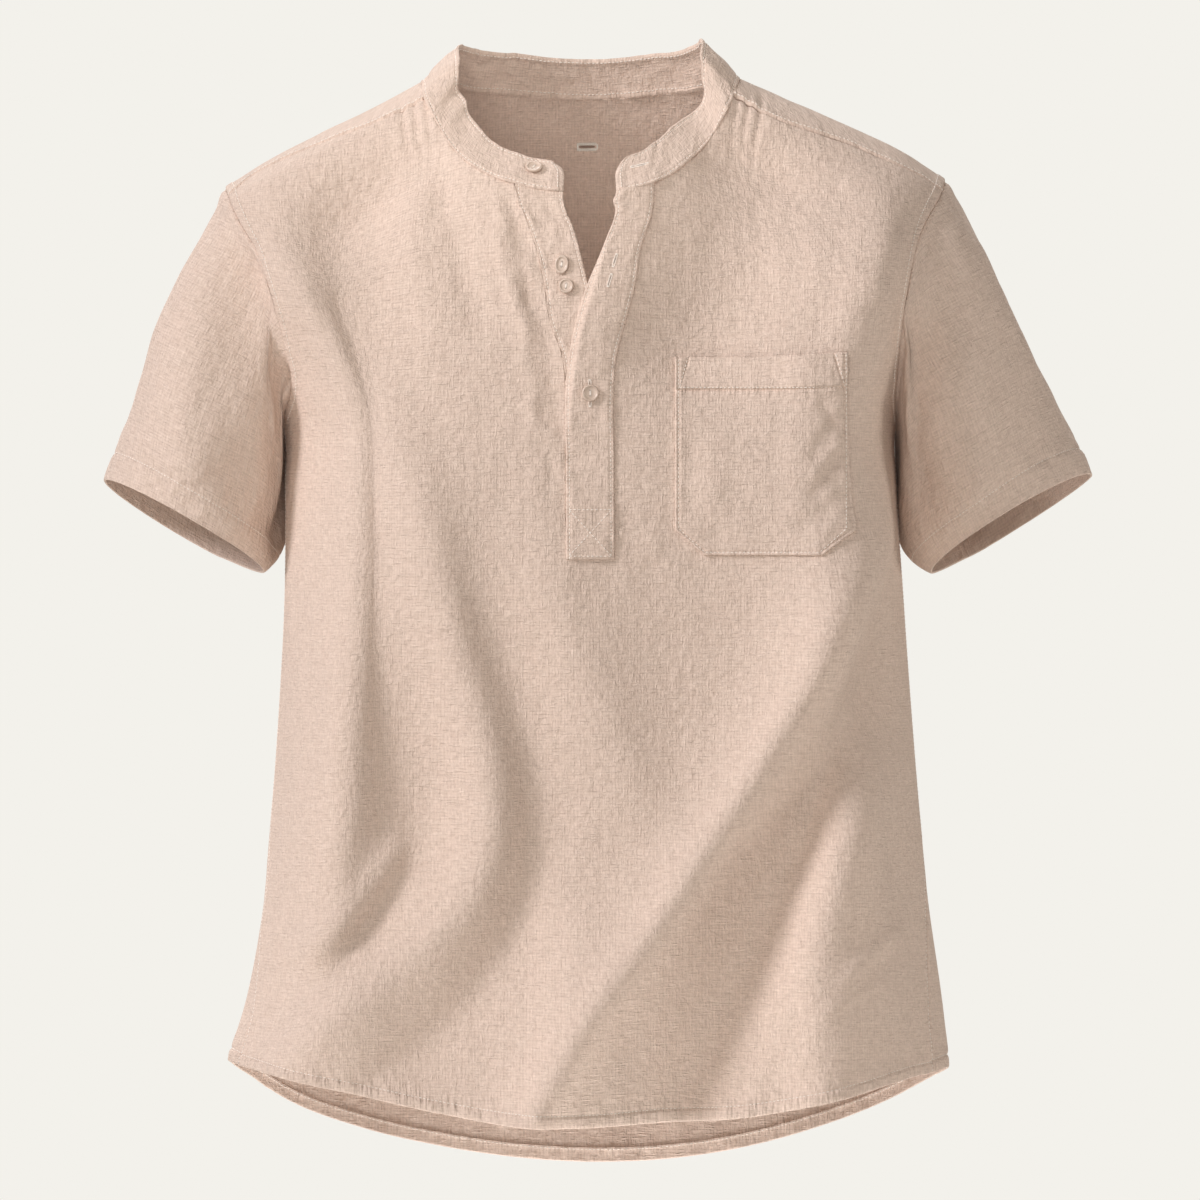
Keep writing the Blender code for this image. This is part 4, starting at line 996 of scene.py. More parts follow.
# %% [markdown]
# ## Front and back
# Each panel is made in halves that share their middle line, and each half is
# a large grid up to the chest and a small one over the shoulder. The front's
# middle line opens into the slit, whose edges the placket strips cover.

# %% Half panels
PANEL_LONG, PANEL_HALF, SHOULDER_LONG = 0.60, 0.26, 0.105
PANEL_CELL = (0.0023, 0.0050)
HUNG = {}                  # finished grids, kept for stitches and neighbours


def half_panel(which, name):
    edge, side = EDGES[which, name], -1 if which == "front" else 1
    u = graded(PANEL_HALF, PANEL_CELL[0], 0.001 if which == "front" else -1, 0.003) / PANEL_HALF
    outer_rows = graded(PANEL_LONG, PANEL_CELL[1], HEM_DEEP + 0.003, 0.003, 0.0009,
                        first=FOLD_ROUND)
    turned = turned_rows(HEM_DEEP)
    up = np.concatenate([turned[:, 0], outer_rows])
    inward = np.concatenate([turned[:, 1], np.zeros(len(outer_rows))])
    v = up / PANEL_LONG
    across_long = np.linalg.norm(np.diff(form(np.stack([edge["neck"][-1], edge["outer"][-1]]),
                                              side), axis=0))
    neck_share = lengths(form(edge["neck"], side))[-1]
    neck_share /= neck_share + across_long
    turn = int(np.abs(u - neck_share).argmin())
    share = (u[turn:] - u[turn]) / (1 - u[turn])
    neck = spaced(edge["neck"], side, u[:turn + 1] / u[turn])
    across = (1 - share)[:, None] * neck[-1] + share[:, None] * edge["outer"][-1]
    if edge["high"] is None:
        inner = spaced(edge["low"], side, v)
    else:
        low_long = lengths(form(edge["low"], side))[-1]
        high_long = lengths(form(edge["high"], side))[-1]
        split = int(np.abs(v - low_long / (low_long + high_long)).argmin())
        inner = np.concatenate([
            spaced(edge["low"], side, v[:split + 1] / v[split]),
            spaced(edge["high"], side, (v[split + 1:] - v[split]) / (1 - v[split]))])
    bottom = spaced(edge["bottom"], side, u)
    large = patch(bottom, np.concatenate([neck, across[1:]]), inner,
                  spaced(edge["outer"], side, v), u, v)
    v2 = graded(SHOULDER_LONG, 0.0040, -1, 0.002) / SHOULDER_LONG
    small = patch(across, spaced(edge["shoulder"], side, share),
                  spaced(edge["neck_side"], side, v2), spaced(edge["arm_high"], side, v2),
                  share, v2)
    whole_neck = np.concatenate([edge["neck"], edge["neck_side"]])
    seams = [
        (form(edge["arm"], side), DITCH, ARM_FELL, 0.0, 0.9),
        (form(edge["seam"], side), DITCH, SIDE_FELL, 0.0, 0.7),
        (form(edge["shoulder"], side), DITCH, SHOULDER_FELL if side > 0 else 0.0, 0.6, 0.0),
        (form(whole_neck, side), NECK_DITCH, 0.0, 0.7, 0.2)]
    made = []
    for pairs, hem in ((large, True), (small, False)):
        base, marks = form(pairs, side), grain(pairs, side)
        height, gather = seam_relief(base, seams)
        height += relief(pairs, side, base, marks)
        inside = np.zeros(len(pairs))
        if hem:
            rows_up = np.broadcast_to(up[:, None], base.shape[:2])
            height += hem_relief(rows_up, marks[..., 0], HEM_DEEP, 40 + side)
            gather[..., 0] += 1.1 * np.exp(-np.abs(rows_up - HEM_DEEP * 0.8) / 0.007)
            inside = inward
        points = base + form_normal(pairs, side) * (height - inside[:, None])[..., None]
        made.append(dict(points=points, marks=marks, gather=gather, base=base, up=up,
                         seams=seams, turned=len(turned)))
    return made

# %% Make the front and the back
for which, sign in (("front", -1), ("back", 1)):
    for name, _ in SIDES:
        HUNG[which, name] = half_panel(which, name)
    make_piece(which + "_panel", HUNG[which, "left"] + HUNG[which, "right"],
               (0, -0.2 * sign, -0.35), which)

# %% [markdown]
# ## Sleeves
# A set-in sleeve starts on the armhole, which the body panels have just fixed,
# and ends in a straight cuff. Each thread along the sleeve runs from one to
# the other. Under the arm it stays close to the body and turns out late, as
# cloth does when it is pressed between arm and chest. The grain is measured
# from the cuff, which is cut straight.

# %% Sleeve sizes
CUFFS = {
    "left": dict(outer=(-0.3188, -0.2534), inner=(-0.2140, -0.3138),
                 front=0.0065, back=0.0065, tuck_in=0.0028),
    "right": dict(outer=(0.3320, -0.2501), inner=(0.2270, -0.3145),
                  front=0.0090, back=0.0045, tuck_in=-0.0008)}
CUFF_MIDDLE, CUFF_HALF_DEPTH = 0.022, 0.060
TUCK_POWER, TUCK_BACK = 9.0, 0.022
SLEEVE_FULLNESS = 0.012
SLEEVE_CLEAR = 0.00045     # under the arm, between sleeve and body
SLEEVE_LONG = 0.205        # the longest thread, from the shoulder to the cuff
SLEEVE_CELL = 0.0040
SLEEVE_COLUMNS = 168
ROLL_HIGH, ROLL_FAR, ROLL_WIDE = 0.0006, 0.006, 0.004   # beside the armhole
SLEEVE_UNREST = (0.0016, 0.0008)                        # broad and fine
SLEEVE_FRONT = {
    "left": [(-0.0100, 0.030, 0.012, (-0.246, -0.040), (-0.222, -0.110), (-0.208, -0.165),
              (-0.200, -0.220), (-0.200, -0.370)),
             (0.0100, 0.038, 0.024, (-0.256, -0.030), (-0.256, -0.090), (-0.258, -0.160),
              (-0.262, -0.230), (-0.266, -0.370)),
             (0.0034, 0.018, 0.020, (-0.268, -0.080), (-0.268, -0.150), (-0.276, -0.250)),
             (-0.0018, 0.007, 0.008, (-0.224, -0.240), (-0.246, -0.250), (-0.268, -0.276))],
    "right": [(-0.0085, 0.011, 0.012, (0.214, -0.130), (0.216, -0.180), (0.214, -0.225),
               (0.220, -0.290)),
              (0.0110, 0.022, 0.028, (0.234, -0.045), (0.243, -0.100), (0.250, -0.150),
               (0.255, -0.210), (0.258, -0.370))]}
SLEEVE_BACK = {
    "left": [(-0.0060, 0.014, 0.016, (-0.234, -0.080), (-0.240, -0.150), (-0.236, -0.260)),
             (0.0042, 0.018, 0.016, (-0.262, -0.090), (-0.276, -0.160), (-0.270, -0.250))],
    "right": [(-0.0062, 0.016, 0.014, (0.236, -0.080), (0.244, -0.160), (0.238, -0.270)),
              (0.0040, 0.016, 0.020, (0.262, -0.085), (0.280, -0.170), (0.278, -0.260))]}

# %% Sleeve grids
def armhole(name):
    """The armhole of the hung panels, from under the arm over the front and back again."""
    halves = []
    for which in ("front", "back"):
        low, high = HUNG[which, name]
        line = low["points"][low["turned"]:, -1]
        first = between(UNDERARM_HEIGHT, line[:, 2], line)
        halves.append(np.concatenate([[first], line[line[:, 2] > UNDERARM_HEIGHT + 0.001],
                                      high["points"][1:, -1]]))
    front, back = halves
    back[0] = front[0]
    return np.concatenate([front, back[::-1][1:]])


def resample(line, count):
    run = lengths(line)
    where = np.linspace(0, run[-1], count)
    return between(where, run, line), where


def with_ditch(rows, ditch, apart):
    """Rows of a grid, with three of them set where a ditch of stitches runs."""
    return np.sort(np.concatenate([rows[np.abs(rows - ditch) > 0.0012],
                                   ditch + np.array([-apart, 0, apart])]))

# %% The grid of a sleeve
def sleeve_grid(name, sign):
    size = CUFFS[name]
    fine = armhole(name)
    peak_run = lengths(fine)[int(fine[:, 2].argmax())]
    loop, run = resample(fine, SLEEVE_COLUMNS + 1)
    turn = np.where(run <= peak_run, math.pi * run / peak_run,
                    math.pi * (1 + (run - peak_run) / (run[-1] - peak_run)))
    outer, inner = np.array(size["outer"]), np.array(size["inner"])
    middle, half = (outer + inner) / 2, (outer - inner) / 2
    across = unit(np.array([-half[1], half[0]]))
    across *= np.sign(across[1])
    toward, under = np.sin(turn), ((1 + np.cos(turn)) / 2) ** 2
    lip = np.where(toward > 0, size["front"], size["back"])
    cuff = np.stack([middle[0] - half[0] * np.cos(turn) + across[0] * lip * toward,
                     CUFF_MIDDLE - CUFF_HALF_DEPTH * toward,
                     middle[1] - half[1] * np.cos(turn) + across[1] * lip * toward], -1)
    tuck = 1 + (TUCK_POWER - 1) * under
    start = loop.copy()
    start[:, 0] += sign * SLEEVE_CLEAR * smooth(np.cos(turn) * 5)

    def at(s):
        swell = np.sin(math.pi * s)
        x = (start[:, 0] + (cuff[:, 0] - start[:, 0]) * s ** tuck
             - sign * size["tuck_in"] * under * swell ** 2)
        y = (start[:, 1] + (cuff[:, 1] - start[:, 1]) * s ** 0.8
             + (TUCK_BACK * under - SLEEVE_FULLNESS * toward) * swell)
        z = start[:, 2] + (cuff[:, 2] - start[:, 2]) * s
        return np.stack([x, y, z], -1)

    # near the cuff, rows keep an even distance from its edge
    one = np.ones((1, len(turn)))
    speed = np.linalg.norm(at(one) - at(one * 0.98), axis=-1) / 0.02
    turned = turned_rows(CUFF_DEEP)
    rows_up = with_ditch(graded(SLEEVE_LONG, SLEEVE_CELL, 0.004, 0.004, 0.0009,
                                first=FOLD_ROUND), CUFF_DEEP, 0.0012)
    up = np.concatenate([turned[:, 0], rows_up])
    inward = np.concatenate([turned[:, 1], np.zeros(len(rows_up))])
    blend = smooth((up - 0.025) / (SLEEVE_LONG - 0.025))[:, None]
    real_up = up[:, None] * (1 - blend * (1 - speed / SLEEVE_LONG))
    s = np.clip(1 - real_up / speed, 0, 1)
    base = at(s)
    normal = normals_of(at(np.clip(1 - np.sort(real_up, axis=0) / speed, 0, 1)))
    # the turned rows share the direction of the outer rows at the same height
    normal = normal[np.argsort(np.argsort(real_up[:, 0], kind="stable"))]
    axis = base.mean(1)[:, None]
    normal *= np.sign((normal * (base - axis)).sum(-1).sum())

    top = int(np.abs(run - peak_run).argmin())
    ring = lengths(base)
    weft = ring - ring[:, top:top + 1]
    steps = np.linalg.norm(np.diff(base[len(turned):], axis=0), axis=-1)
    warp = np.concatenate([real_up[:len(turned) + 1],
                           real_up[len(turned)] + np.cumsum(steps, 0)])
    marks = np.stack([weft, warp], -1)
    far = np.clip(speed * s, 0, 1)                       # distance from the armhole
    x, z = base[..., 0], base[..., 2]
    height = (smooth(toward * 2.2) * fold_height(x, z, SLEEVE_FRONT[name])
              + smooth(-toward * 2.2) * fold_height(x, z, SLEEVE_BACK[name]))
    outside = 1 - smooth((np.cos(turn) - 0.35) * 3)      # calm where it lies on the body
    seed = 60 + sign
    broad, fine = SLEEVE_UNREST
    height += outside * (broad * unrest(weft, real_up, 0.030, seed, 1.6)
                         + fine * unrest(weft, real_up, 0.011, seed + 4, 1.5)
                         * (0.5 + np.exp(-real_up / 0.04)))
    height *= smooth(far / 0.022) * smooth((real_up - 0.003) / 0.03)
    # the seam's roll beside the armhole, and the hem
    height += outside * (DITCH * (1 - bell(far, 0.0016))
                         + ROLL_HIGH * bell(far - ROLL_FAR, ROLL_WIDE))
    height += hem_relief(real_up, weft, CUFF_DEEP, seed + 10) * (0.3 + 0.7 * outside)
    gather = np.zeros(base.shape[:2] + (2,))
    gather[..., 0] = 0.7 * np.exp(-np.abs(real_up - CUFF_DEEP) / 0.008)
    gather[..., 1] = 0.35 * bell(far, 0.009)
    points = base + normal * (height - inward[:, None])[..., None]
    for grid in (points, base):
        grid[:, -1] = grid[:, 0]
    return dict(points=points, marks=marks, gather=gather, up=up, axis=axis[:, 0],
                turned=len(turned))

# %% Make the sleeves
for name, sign in SIDES:
    grid = HUNG["sleeve", name] = sleeve_grid(name, sign)
    make_piece("sleeve_%s_panel" % name, [grid], grid["axis"], "sleeve_" + name)

# %% [markdown]
# ## Collar band
# The band is two layers turned in on each other and topstitched all round.
# It stands on the neck seam, which it covers from outside, and leans in as it
# rises. Its two ends are rounded, and don't meet, because the top button is
# open.

# %% Collar band
COLLAR = Table("along rise lean", [
    (0.00, 0.0185, 0.016), (0.06, 0.0195, 0.017), (0.14, 0.0185, 0.020),
    (0.22, 0.0200, 0.0225), (0.29, 0.0235, 0.0225), (0.36, 0.0262, 0.019),
    (0.52, 0.0262, 0.012), (0.66, 0.0265, 0.019), (0.74, 0.0250, 0.023),
    (0.80, 0.0215, 0.0225), (0.88, 0.0190, 0.020), (0.95, 0.0210, 0.019),
    (1.00, 0.0225, 0.018),
])
COLLAR_END_ROUND = (0.013, 0.017)
COLLAR_HEIGHT, COLLAR_END_REACH = 0.029, 0.050
NECK_MIDDLE = (-0.005, -0.012, 0.0)
BAND_THICK, BAND_LAP = 0.0020, 0.0013
BAND_FOOT, TOPSTITCH = 0.0012, 0.0026   # where its two long rows of stitches run
STITCH_WIDE, TURN_WIDE = 0.0008, 0.0012 # of a stitched ditch, and of a turned edge
BAND_COLUMNS = 300
BAND_DITCH, BAND_TURN = 0.00060, 0.00070


def turned_edge(far, radius):
    """From 0 at an edge to 1 inside it, rounded as folded cloth is."""
    return np.sqrt(1 - (1 - np.clip(far / radius, 0, 1)) ** 2)


def hang(pairs, side):
    """The panel's own surface with its folds, and its normal."""
    base, normal = form(pairs, side), form_normal(pairs, side)
    height = relief(pairs, side, base, grain(pairs, side))
    return base + normal * height[..., None], normal

# %% The line that it is sewn to
def neck_base():
    """The neck seam from the under strip's edge round to the over strip's edge."""
    free = float(PLACKET.at("under_free", NECK_LEVEL))
    seam = form(EDGES["front", "left"]["neck"][:1], -1)[0, 0]
    x = np.linspace(free, seam, 40)
    lines = [(angles(x, neck_height(x)), -1)]
    for which, name, way in (("front", "left", 1), ("back", "left", -1),
                             ("back", "right", 1), ("front", "right", -1)):
        edge = EDGES[which, name]
        lines.append((np.concatenate([edge["neck"], edge["neck_side"]])[::way],
                      -1 if which == "front" else 1))
    seam = form(EDGES["front", "right"]["neck"][:1], -1)[0, 0]
    x = np.linspace(seam, float(PLACKET.at("over_free", NECK_LEVEL)), 60)
    lines.append((angles(x, neck_height(x)), -1))
    hung = [hang(pairs, side) for pairs, side in lines]
    line = np.concatenate([h[0] for h in hung])
    facing = np.concatenate([h[1] for h in hung])
    run = lengths(line)
    keep = np.concatenate([[True], np.diff(run) > 1e-6])
    run, line, facing = run[keep], line[keep], facing[keep]
    where = np.linspace(0, run[-1], BAND_COLUMNS + 1)
    line, facing = between(where, run, line), between(where, run, facing)
    # even out the joins between the five edges
    kernel = np.hanning(11) / np.hanning(11).sum()
    for grid in (line, facing):
        padded = np.pad(grid, ((5, 5), (0, 0)), "edge")
        soft = np.stack([np.convolve(padded[:, i], kernel, "valid") for i in range(3)], -1)
        grid[6:-6] = soft[6:-6]
    return line, facing, where

# %% The grid of the band
def band_grid():
    line, facing, run = neck_base()
    total = run[-1]
    tangent = np.gradient(line, run, axis=0)
    inward = unit(np.stack([tangent[:, 1], -tangent[:, 0], np.zeros(len(line))], -1))
    inward *= np.sign(((np.array(NECK_MIDDLE) - line) * inward)[:, :2].sum(1))[:, None]
    # the lap over the neck seam: further out where it covers the over strip
    over = smooth((line[:, 0] - 0.012) / 0.006) * smooth((0.052 - line[:, 0]) / 0.008)
    over *= (run > total * 0.8)
    out = 0.0008 + 0.0016 * over
    down = unit(np.cross(facing, tangent))
    down *= np.where(down[:, 2:3] > 0, -1, 1)
    heights = graded(COLLAR_HEIGHT, 0.0013, 0.004, 0.004, 0.0006)
    rows = [line + facing * (out - 0.0003)[:, None] + down * BAND_LAP,
            line + facing * out[:, None] + down * BAND_LAP * 0.45]
    tall_rows = [-BAND_LAP, -BAND_LAP * 0.45]
    for tall in heights:
        s = tall / COLLAR_HEIGHT
        where = run.copy()
        for end, radius in enumerate(COLLAR_END_ROUND):
            past = max(0.0, COLLAR_HEIGHT * (s - 1) + radius)
            back = radius - math.sqrt(max(0.0, radius ** 2 - past ** 2))
            share = np.clip(1 - (run if end == 0 else total - run) / COLLAR_END_REACH, 0, 1)
            where = where + back * share * (1 if end == 0 else -1)
        foot, way, face = (between(where, run, a) for a in (line, inward, facing))
        part = where / total
        rise, lean = COLLAR.at("rise", part), COLLAR.at("lean", part)
        settle = np.interp(where, run, out) * math.exp(-tall / 0.006)
        rows.append(foot + way * (lean * (0.75 * s + 0.25 * s * s))[:, None]
                    + np.array([0, 0, 1]) * (rise * s)[:, None] + face * settle[:, None])
        tall_rows.append(tall)
    base = np.array(rows)
    tall = np.array(tall_rows)[:, None] + np.zeros(len(run))
    ring = lengths(base)
    from_end = np.minimum(ring, ring[:, -1:] - ring)
    edge_far = np.minimum(COLLAR_HEIGHT - tall, from_end)       # to the topstitched edge
    from_top, from_foot = edge_far - TOPSTITCH, tall - BAND_FOOT
    height = (-BAND_DITCH * (bell(from_top, STITCH_WIDE) + bell(from_foot, STITCH_WIDE))
              - BAND_TURN * (1 - turned_edge(edge_far, TURN_WIDE))
              + 0.00070 * unrest(run + 0 * tall, tall, 0.016, 31, 0.6) * smooth(edge_far / 0.01)
              + 0.00055 * unrest(run + 0.8 * tall, tall, 0.006, 32, 3.0))
    normal = normals_of(base)
    axis = np.tile(NECK_MIDDLE, (len(base), 1))
    axis[:, 2] = base[..., 2].mean(1)
    normal *= np.sign((normal * (base - axis[:, None])).sum())
    gather = np.zeros(base.shape[:2] + (2,))
    gather[..., 0] = 0.45 * (bell(from_top, 0.004) + bell(from_foot, 0.004))
    marks = np.stack([np.broadcast_to(run, tall.shape) + 2.0, tall + 1.0], -1)
    return dict(points=base + normal * height[..., None], marks=marks, gather=gather,
                axis=axis, tall=tall, from_end=from_end)

# %% Make the collar
band = HUNG["collar"] = band_grid()
make_piece("collar_piece", [band], band["axis"], "collar_band", BAND_THICK, 0.0007)

# %% [markdown]
# ## Placket
# The opening is faced with two strips. The under strip carries the buttons and
# is sewn to the left edge of the slit. The over strip lies on top, carries the
# buttonholes, and is stitched down in a crossed box at its lower end. Above
# the last closed button the two strips fall open.

# %% Placket strips
STRIP_THICK = 0.0008
OVER_HEIGHT = 0.0023       # outer side of the over strip above the front
UNDER_HEIGHT = 0.0001
STRIP_STITCH = 0.0024      # from a strip's edge to its stitches
STRIP_DITCH, STRIP_TURN = 0.00050, 0.00090
NUB, NUB_HEIGHT, NUB_TALL = 0.0020, -0.0655, 0.0034


def strip_grid(left, right, bottom, top_of, out, seed):
    """A strip of doubled cloth between two columns of the placket table. `out` is
    its height above the front; the under strip lies level with it."""
    is_over = out > 0.001
    u = graded(0.032, 0.0016, 0.0015, 0.0015, 0.0005) / 0.032
    v = graded(0.24, 0.0019, 0.002, 0.002, 0.0006) / 0.24
    top_x = [float(PLACKET.at(column, NECK_LEVEL)) for column in (left, right)]
    tops = top_x[0] + (top_x[1] - top_x[0]) * u
    pairs = []
    for s in v:
        z = bottom + s * (top_of(tops) - bottom)
        x = (1 - u) * PLACKET.at(left, z) + u * PLACKET.at(right, z)
        x = x + (tops - x) * smooth(s * 8 - 7)
        if is_over:                          # the corner of the fold sticks out
            x = x - NUB * (1 - u) ** 4 * bell(z.mean() - NUB_HEIGHT, NUB_TALL)
        pairs.append(angles(x, z))
    pairs = np.array(pairs)
    base, normal, marks = form(pairs, -1), form_normal(pairs, -1), grain(pairs, -1)
    ring = lengths(base)
    left_far, right_far = ring, ring[:, -1:] - ring
    edge_far = np.minimum(left_far, right_far)
    sunk = np.minimum(edge_far, base[..., 2] - bottom) if is_over else right_far
    height = relief(pairs, -1, base, marks)
    height = height + out * (0.80 + 0.20 * smooth(edge_far / 0.006))
    height -= STRIP_TURN * (1 - turned_edge(sunk, TURN_WIDE))
    height -= STRIP_DITCH * bell(edge_far - STRIP_STITCH, STITCH_WIDE)
    height += 0.00045 * unrest(ring, marks[..., 1], 0.010, seed, 1.2)
    height += (0.00055 * unrest(ring, marks[..., 1], 0.0055, seed + 1, 0.8)
               * (0.35 + np.exp(-edge_far / 0.004)))
    gather = np.zeros(base.shape[:2] + (2,))
    gather[..., 1] = 0.5 * bell(edge_far - STRIP_STITCH, 0.004)
    return dict(points=base + normal * height[..., None], marks=marks + (0.37, 0.61),
                gather=gather, left_far=left_far, right_far=right_far)

# %% Make the strips
under = HUNG["under"] = strip_grid("under_seam", "under_free", SLIT_CORNER,
                                   neck_height, UNDER_HEIGHT, 71)
over = HUNG["over"] = strip_grid("over_free", "over_outer", BOX_BOTTOM,
                                 lambda x: neck_height(x) - 0.0003, OVER_HEIGHT, 81)
for node, grid in (("placket_under", under), ("placket_over", over)):
    make_piece(node + "_strip", [grid], (0, 0.3, -0.2), node, STRIP_THICK, 0.0003)

# %% [markdown]
# ## Pocket
# A patch pocket has its raw edges turned under and is stitched close to the
# fold, with the two lower corners cut off. Its mouth is hemmed deeper, and the
# stitched ends of the mouth slant, to take the strain. The middle of the patch
# stands off the front a little, because it hangs from its own edges.

# %% Pocket
POCKET = dict(left=0.0572, right=0.1722, top=-0.1690, bottom=-0.3030,
              corner_in=0.0190, corner_up=0.0170)
POCKET_FOLDS = [
    (-0.0016, 0.005, 0.006, (0.170, -0.210), (0.160, -0.222), (0.146, -0.246)),
    (-0.0018, 0.005, 0.006, (0.171, -0.232), (0.160, -0.246), (0.144, -0.272)),
    (0.0016, 0.005, 0.005, (0.171, -0.222), (0.160, -0.234), (0.146, -0.258)),
    (-0.0016, 0.006, 0.006, (0.168, -0.262), (0.150, -0.278), (0.132, -0.290))]
POCKET_BAND = 0.0232       # depth of the mouth's hem
POCKET_SLANT = 0.0062      # how far the mouth's end stitches slant
POCKET_EDGE = 0.0021       # outer side above the front at the sewn edge
POCKET_SWELL = 0.0018
POCKET_THICK = 0.0007
POCKET_TURN, POCKET_DITCH, MOUTH_DITCH, SLANT_DITCH = 0.0015, 0.00080, 0.00100, 0.00085

# %% The grid of the pocket
def pocket_grid():
    p = POCKET
    wide, tall = p["right"] - p["left"], p["top"] - p["bottom"]
    u = graded(wide, 0.0020, 0.0095, 0.0095, 0.0006) / wide
    drop = with_ditch(graded(tall, 0.0020, 0.003, 0.003, 0.0006), POCKET_BAND, 0.0008)
    cut = p["corner_in"] * np.clip(1 - (tall - drop) / p["corner_up"], 0, None)[:, None]
    x = (p["left"] + cut) * (1 - u) + (p["right"] - cut) * u
    z = np.broadcast_to((p["top"] - drop)[:, None], x.shape)
    pairs = angles(x, z)
    base, normal, marks = form(pairs, -1), form_normal(pairs, -1), grain(pairs, -1)
    side_far = np.minimum(x - p["left"], p["right"] - x)
    low_far = z - p["bottom"]
    along, up = p["corner_in"], p["corner_up"]
    cut_far = (side_far * up + low_far * along - along * up) / math.hypot(along, up)
    sewn = np.minimum(np.minimum(side_far, low_far), cut_far)
    mouth = p["top"] - z
    out = (POCKET_EDGE + POCKET_SWELL * smooth(sewn / 0.030) * (0.65 + 0.35 * np.exp(-mouth / 0.03))
           + 0.0009 * smooth((POCKET_BAND - mouth) / 0.0012))
    slant = side_far - STRIP_STITCH - 0.0006 - POCKET_SLANT * (1 - mouth / POCKET_BAND)
    height = relief(pairs, -1, base, marks) + out
    height -= POCKET_TURN * (1 - turned_edge(np.minimum(sewn, mouth), 0.0011))
    height -= POCKET_DITCH * bell(sewn - STRIP_STITCH, STITCH_WIDE)
    height -= MOUTH_DITCH * bell(mouth - POCKET_BAND, STITCH_WIDE)
    height -= SLANT_DITCH * bell(slant, 0.0007) * (mouth < POCKET_BAND)
    height += 0.0011 * unrest(marks[..., 0], marks[..., 1], 0.020, 91, 1.3) * smooth(sewn / 0.012)
    height += 0.00055 * unrest(marks[..., 0], marks[..., 1], 0.0055, 92) * np.exp(-sewn / 0.005)
    for fold in POCKET_FOLDS:
        height += smooth(sewn / 0.006) * fold_height(x, z, [fold])
    gather = np.zeros(base.shape[:2] + (2,))
    gather[..., 0] = 0.5 * (bell(mouth - POCKET_BAND, 0.005)
                            + bell(low_far - STRIP_STITCH, 0.005))
    gather[..., 1] = 0.5 * bell(side_far - STRIP_STITCH, 0.005)
    return dict(points=base + normal * height[..., None], marks=marks + (0.0, 0.0017),
                gather=gather)

# %% Make the pocket
pocket = HUNG["pocket"] = pocket_grid()
make_piece("pocket_patch", [pocket], (0.1, 0.3, -0.24), "pocket", POCKET_THICK, 0.0003)

# %% [markdown]
# ## Stitches
# A lockstitch shows as a row of short plump threads, each diving into the
# cloth at both ends. One stitch is modelled, an array modifier repeats it, and
# every copy is then laid along its seam, half sunk in. A row is slightly
# uneven, because the cloth moves under the needle.

# %% One stitch and its thread
STITCH_PITCH, STITCH_LONG, STITCH_THICK = 0.0027, 0.0020, 0.00070
STITCH_RISE = 0.00008      # of its middle above the cloth


def thread_material(name, colour):
    made, tree, shader = material(name, Roughness=0.62, Sheen_Weight=0.2)
    where = put(tree, "TexCoord").outputs["Object"]
    twist = put(tree, "TexNoise", Vector=where, Scale=900.0, Detail=2.0).outputs[0]
    dark = tuple(c * 0.82 for c in colour) + (1,)
    dress(tree, shader, mixed(tree, twist, dark, (*colour, 1)),
          sums(tree, "MULTIPLY", twist, 0.00008))
    return made


THREAD = thread_material("thread", (0.99, 0.89, 0.80))

mesh = bmesh.new()
bmesh.ops.create_uvsphere(mesh, u_segments=5, v_segments=5, radius=0.5)
bmesh.ops.rotate(mesh, verts=mesh.verts, matrix=Matrix.Rotation(math.pi / 2, 3, "Y"))
STITCH = baked("stitch", mesh)
print("stitch:", len(STITCH.polygons), "faces")

# %% Rows of stitches
def with_modifiers(thing):
    """The mesh of an object once its modifiers have run; the object goes."""
    graph = bpy.context.evaluated_depsgraph_get()
    data = bpy.data.meshes.new_from_object(thing.evaluated_get(graph))
    bpy.data.objects.remove(thing, do_unlink=True)
    return data


def coat(data, made_of):
    data.shade_smooth()
    data.materials.clear()
    data.materials.append(made_of)


def sew(name, marks, material=THREAD):
    """One joined mesh of stitches given as (spot, along, out, long, thick)."""
    single = placed(name + "_one", STITCH.copy())
    row = single.modifiers.new("row", "ARRAY")
    row.count, row.use_relative_offset = len(marks), False
    data = with_modifiers(single)
    shape = np.array([v.co for v in STITCH.vertices])
    spots, along, out, long, thick = (np.array(part, float) for part in zip(*marks))
    out = unit(out - along * (out * along).sum(-1, keepdims=True))
    beside = np.cross(out, along)
    points = (spots[:, None] + shape[None, :, :1] * (along * long[:, None])[:, None]
              + shape[None, :, 1:2] * (beside * thick[:, None])[:, None]
              + shape[None, :, 2:] * (out * thick[:, None])[:, None])
    data.vertices.foreach_set("co", points.reshape(-1))
    data.update()
    data.name = name
    coat(data, material)
    take(placed(name, data))
    print(name, len(marks), "stitches")


def row_of(points, normals, seed):
    """Stitches along a line on the cloth."""
    run = lengths(points)
    count = max(2, int(run[-1] / STITCH_PITCH))
    pitch = run[-1] / count
    noise = np.random.default_rng(seed)
    made = []
    for i in range(count):
        middle = (i + 0.5) * pitch
        a, b, c = (between(middle + d, run, points) for d in (-pitch * 0.4, 0, pitch * 0.4))
        out = unit(between(middle, run, normals))
        along = unit(c - a)
        along = unit(along + np.cross(out, along) * noise.uniform(-0.07, 0.07))
        made.append((b + out * STITCH_RISE, along, out,
                     STITCH_LONG * pitch / STITCH_PITCH * noise.uniform(0.92, 1.04),
                     STITCH_THICK * noise.uniform(0.9, 1.1)))
    return made

